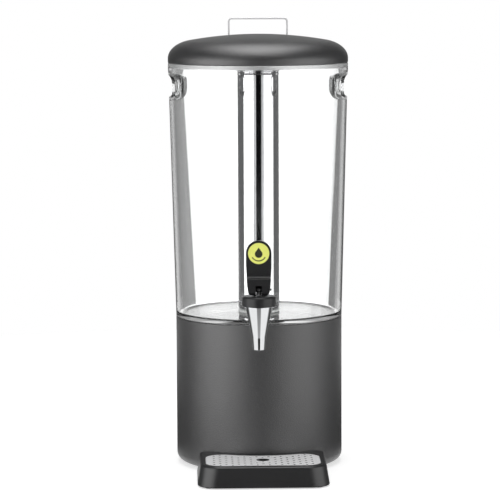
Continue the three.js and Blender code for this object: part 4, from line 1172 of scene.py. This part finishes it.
def dress_kept_nodes():
    """Materials of the CAD nodes that stay as they are."""
    screws = [f"base_screw_{i}" for i in range(1, 5)] + ["handle_screw_1", "handle_screw_2"]
    for name in ["base_plate"] + screws:
        materials = frame["nodes"][name].data.materials
        materials.clear()
        materials.append(BRUSHED if name in screws else BLACK)


housing()
support_ring()
for number in range(1, 5):
    round_foot(f"foot_{number}", "base", 1.5)
    round_foot(f"tray_foot_{number}", "drip_tray", 0.4)
vessel()
for where in ("outer", "inner"):
    tap_ring(f"gasket_{where}", f"tap_gasket_{where}", SILICONE, "clear_silicone")
tap_ring("shank_washer", "tap_washer", POLISHED, "polished_steel")
tap_nut()
tap_casting()
bonnet()
stem()
seat_cup()
return_spring()
cross_pin()
lever()
lever_disc()
cooling_tube()
tube_stopper()
lid()
lid_handle()
tray()
grate()
dress_kept_nodes()


# Floor, light and camera

FLOOR_RADIUS = 1200.0
FLOOR_DEPTH = 6.0
LAMP_DISTANCE = 1.4
LAMP_WIDTH = 1.7
LAMP_TALL = 0.96
LAMP_HEIGHT = 0.34
LAMP_AIM = 0.3
LEFT_AZIMUTH = -57.0
RIGHT_AZIMUTH = 62.0
LEFT_RADIANCE = 2.2
RIGHT_RADIANCE = 1.45
TOP_RADIANCE = 3.0
TOP_PLACE = (0.0, -0.02, 1.9)
TOP_WIDTH = 1.1
TOP_DEPTH = 2.0
FILL = 0.25
FLOOR_GLOW = 0.58
THROUGH_GLOW = 1.3  # white behind the clear wall, which takes some of it
HORIZON = (-0.02, 0.03)
LEFT_FLAG, RIGHT_FLAG = (0.122, 0.132), (0.188, 0.2)  # where the flags begin beside the middle
FLAG_END = (0.42, 0.46)
FLAG_FOOT = (-0.24, -0.2)
LEFT_GREY, RIGHT_GREY = 0.38, 0.21


def floor():
    disc = [(0, -FLOOR_DEPTH), (FLOOR_RADIUS, -FLOOR_DEPTH), (FLOOR_RADIUS, 0.0), (0, 0.0)]
    ground = lathe("floor", disc, sides=96)
    nodes = Nodes("floor_white")
    combine, times, ramp, choose = nodes.combine, nodes.times, nodes.ramp, nodes.choose
    speck = nodes.noise(8.0, 2.0)
    nodes.colour(nodes.spread(speck, 0, 1), (0.78, 0.78, 0.78), (0.80, 0.80, 0.80))
    nodes.set(Roughness=0.6, Specular_IOR_Level=0.2, Emission_Color=(1, 1, 1, 1))
    path = nodes.add("LightPath").outputs
    glow = times(path["Is Camera Ray"], FLOOR_GLOW)
    nodes.set(Emission_Strength=choose(path["Is Transmission Ray"], glow, FLOOR_GLOW * THROUGH_GLOW))
    # In mirrors the floor glows with a painted reflection: white at some distance, with painted shade round
    # the housing and behind the tap's sides, and the dark lane of the camera's side in front of the tap
    x, y = nodes.parts(nodes.coordinates())[:2]
    across = combine("ABSOLUTE", x)
    ahead = combine("MAXIMUM", combine("SUBTRACT", TAP_Y * MM, y), 0.001)
    behind = combine("SUBTRACT", y, TAP_Y * MM)
    lane = ramp(combine("DIVIDE", across, ahead), 0.28, 0.4)
    near = ramp(ahead, 0.3, 0.5, 0.35, 0.01)
    along = combine("SUBTRACT", y, AXIS_Y * MM)
    squares = combine("ADD", times(x, x), times(along, along))
    radius = combine("SQRT", squares)
    far = ramp(radius, 0.7, 1.0, 1.0, 0.5)
    open_floor = times(ramp(radius, 0.3, 0.38, 0.2, 0.95), far)
    hidden = ramp(radius, 0.74, 0.84, 0.08, 0.95)
    open_floor = ramp(combine("DIVIDE", behind, across), 0.0, 0.35, open_floor, hidden)
    open_floor = ramp(radius, 0.13, 0.16, 0.9, open_floor)
    mirror = nodes.add("Emission", Strength=choose(lane, near, open_floor))
    nodes.mixed(nodes.in_mirror(path), mirror)
    ground.data.materials.append(nodes.material)


def world():
    """White where the camera looks, a studio with a dark lane in mirrors, and an even fill."""
    background = bpy.data.worlds.new("studio")
    bpy.context.scene.world = background
    background.use_nodes = True
    background.node_tree.nodes.clear()
    graph = Graph(background.node_tree)
    combine, times, ramp, choose = graph.combine, graph.times, graph.ramp, graph.choose
    path = graph.add("LightPath").outputs
    x, y, z = graph.parts(graph.add("TexCoord").outputs["Generated"])
    side = combine("ABSOLUTE", x)
    # In mirrors: the dark lane in front, grey round the lamps, white behind
    lane = ramp(z, -0.12, -0.085, 0.08, 0.003)
    within = graph.above(path["Transmission Depth"], 0.5)
    beside_seam = ramp(combine("ABSOLUTE", combine("SUBTRACT", x, 0.05)), 0.25, 0.28, 0.0, 0.95)
    beside = choose(within, ramp(side, 0.2, 0.3, 0.0, 0.12), beside_seam)
    front = combine("MAXIMUM", lane, beside)
    front = choose(ramp(y, -0.12, 0.06), front, choose(within, 0.08, 0.2))
    rear = ramp(z, *HORIZON, choose(within, 0.15, 0.2), choose(within, 0.5, 1.2))
    studio = choose(ramp(y, 0.9, 0.97), front, rear)
    # Through the clear wall: white behind between a dark flag on the left and one on the right
    on_right = graph.above(x, 0.0)
    edge = choose(on_right, ramp(side, *LEFT_FLAG), ramp(side, *RIGHT_FLAG))
    edge = times(edge, ramp(side, *FLAG_END, 1.0, 0.0))
    flagged = times(edge, ramp(z, *FLAG_FOOT))
    backdrop = choose(flagged, THROUGH_GLOW, choose(on_right, LEFT_GREY, RIGHT_GREY))
    # What the wall's own inner reflection shows: the same flags, dark at their rear ends
    outer_left = times(ramp(side, 0.3, 0.6, 0.95, 0.28), ramp(side, 0.14, 0.22, 0.1, 1.0))
    outer_right = times(ramp(side, 0.42, 0.6, 0.75, 0.4), ramp(side, 0.2, 0.34, 0.15, 1.0))
    outer = ramp(z, *HORIZON, choose(on_right, outer_left, outer_right), 0.36)
    inner_glossy = graph.above(path["Glossy Depth"], 0.5)
    ahead = choose(inner_glossy, THROUGH_GLOW, ramp(side, 0.15, 0.35, 0.01, 0.3))
    backdrop = choose(inner_glossy, backdrop, outer)
    backdrop = choose(ramp(y, 0.3, 0.6), ahead, backdrop)
    strength = choose(path["Is Transmission Ray"], FILL, backdrop)
    strength = choose(graph.in_mirror(path), strength, studio)
    strength = choose(path["Is Diffuse Ray"], strength, FILL)
    strength = choose(path["Is Camera Ray"], strength, 1.0)
    shader = graph.add("Background", Color=(1, 1, 1, 1), Strength=strength)
    graph.add("OutputWorld", Surface=shader.outputs[0])


def lamp(name, location, width, height, radiance):
    """A softbox of a given radiance, turned to the object's middle."""
    light = bpy.data.lights.new(name, "AREA")
    light.shape = "RECTANGLE"
    light.size, light.size_y = width, height
    light.energy = radiance * math.pi * width * height
    obj = in_scene(name, light)
    obj.location = location
    centre = Vector((0, AXIS_Y * MM, LAMP_AIM))
    obj.rotation_euler = (centre - obj.location).to_track_quat("-Z", "Y").to_euler()
    obj.visible_camera = False


def side_lamp(name, azimuth, radiance):
    """A softbox at an azimuth from the camera's side of the object, in degrees towards +X."""
    angle = math.radians(azimuth)
    place = (math.sin(angle) * LAMP_DISTANCE, AXIS_Y * MM - math.cos(angle) * LAMP_DISTANCE, LAMP_HEIGHT)
    lamp(name, place, LAMP_WIDTH, LAMP_TALL, radiance)


# The camera, as it was worked out from the photo's curves
CAMERA_DISTANCE = 3300.0
CAMERA_HEIGHT = 637.0
CAMERA_PITCH = 5.916
CAMERA_ROLL = -0.23
SENSOR_WIDTH = 36.0
FOCAL_PIXELS = 2615.7
PHOTO_WIDTH = 500.0
AXIS_COLUMN = 258.6
AXIS_ROW = 230.0


def camera():
    data = bpy.data.cameras.new("camera")
    data.sensor_width = SENSOR_WIDTH
    data.lens = FOCAL_PIXELS / PHOTO_WIDTH * SENSOR_WIDTH
    data.shift_x = (PHOTO_WIDTH / 2 - AXIS_COLUMN) / PHOTO_WIDTH
    data.shift_y = (AXIS_ROW - PHOTO_WIDTH / 2) / PHOTO_WIDTH
    data.clip_start, data.clip_end = 0.1, 50.0
    obj = in_scene("camera", data)
    obj.location = (0, (AXIS_Y - CAMERA_DISTANCE) * MM, CAMERA_HEIGHT * MM)
    turn = Matrix.Rotation(math.radians(90 - CAMERA_PITCH), 4, "X")
    roll = Matrix.Rotation(math.radians(CAMERA_ROLL), 4, "Z")
    obj.rotation_euler = (turn @ roll).to_euler()
    bpy.context.scene.camera = obj


floor()
world()
side_lamp("softbox_left", LEFT_AZIMUTH, LEFT_RADIANCE)
side_lamp("softbox_right", RIGHT_AZIMUTH, RIGHT_RADIANCE)
lamp("softbox_top", TOP_PLACE, TOP_WIDTH, TOP_DEPTH, TOP_RADIANCE)
camera()
bpy.context.scene.view_settings.view_transform = "Standard"
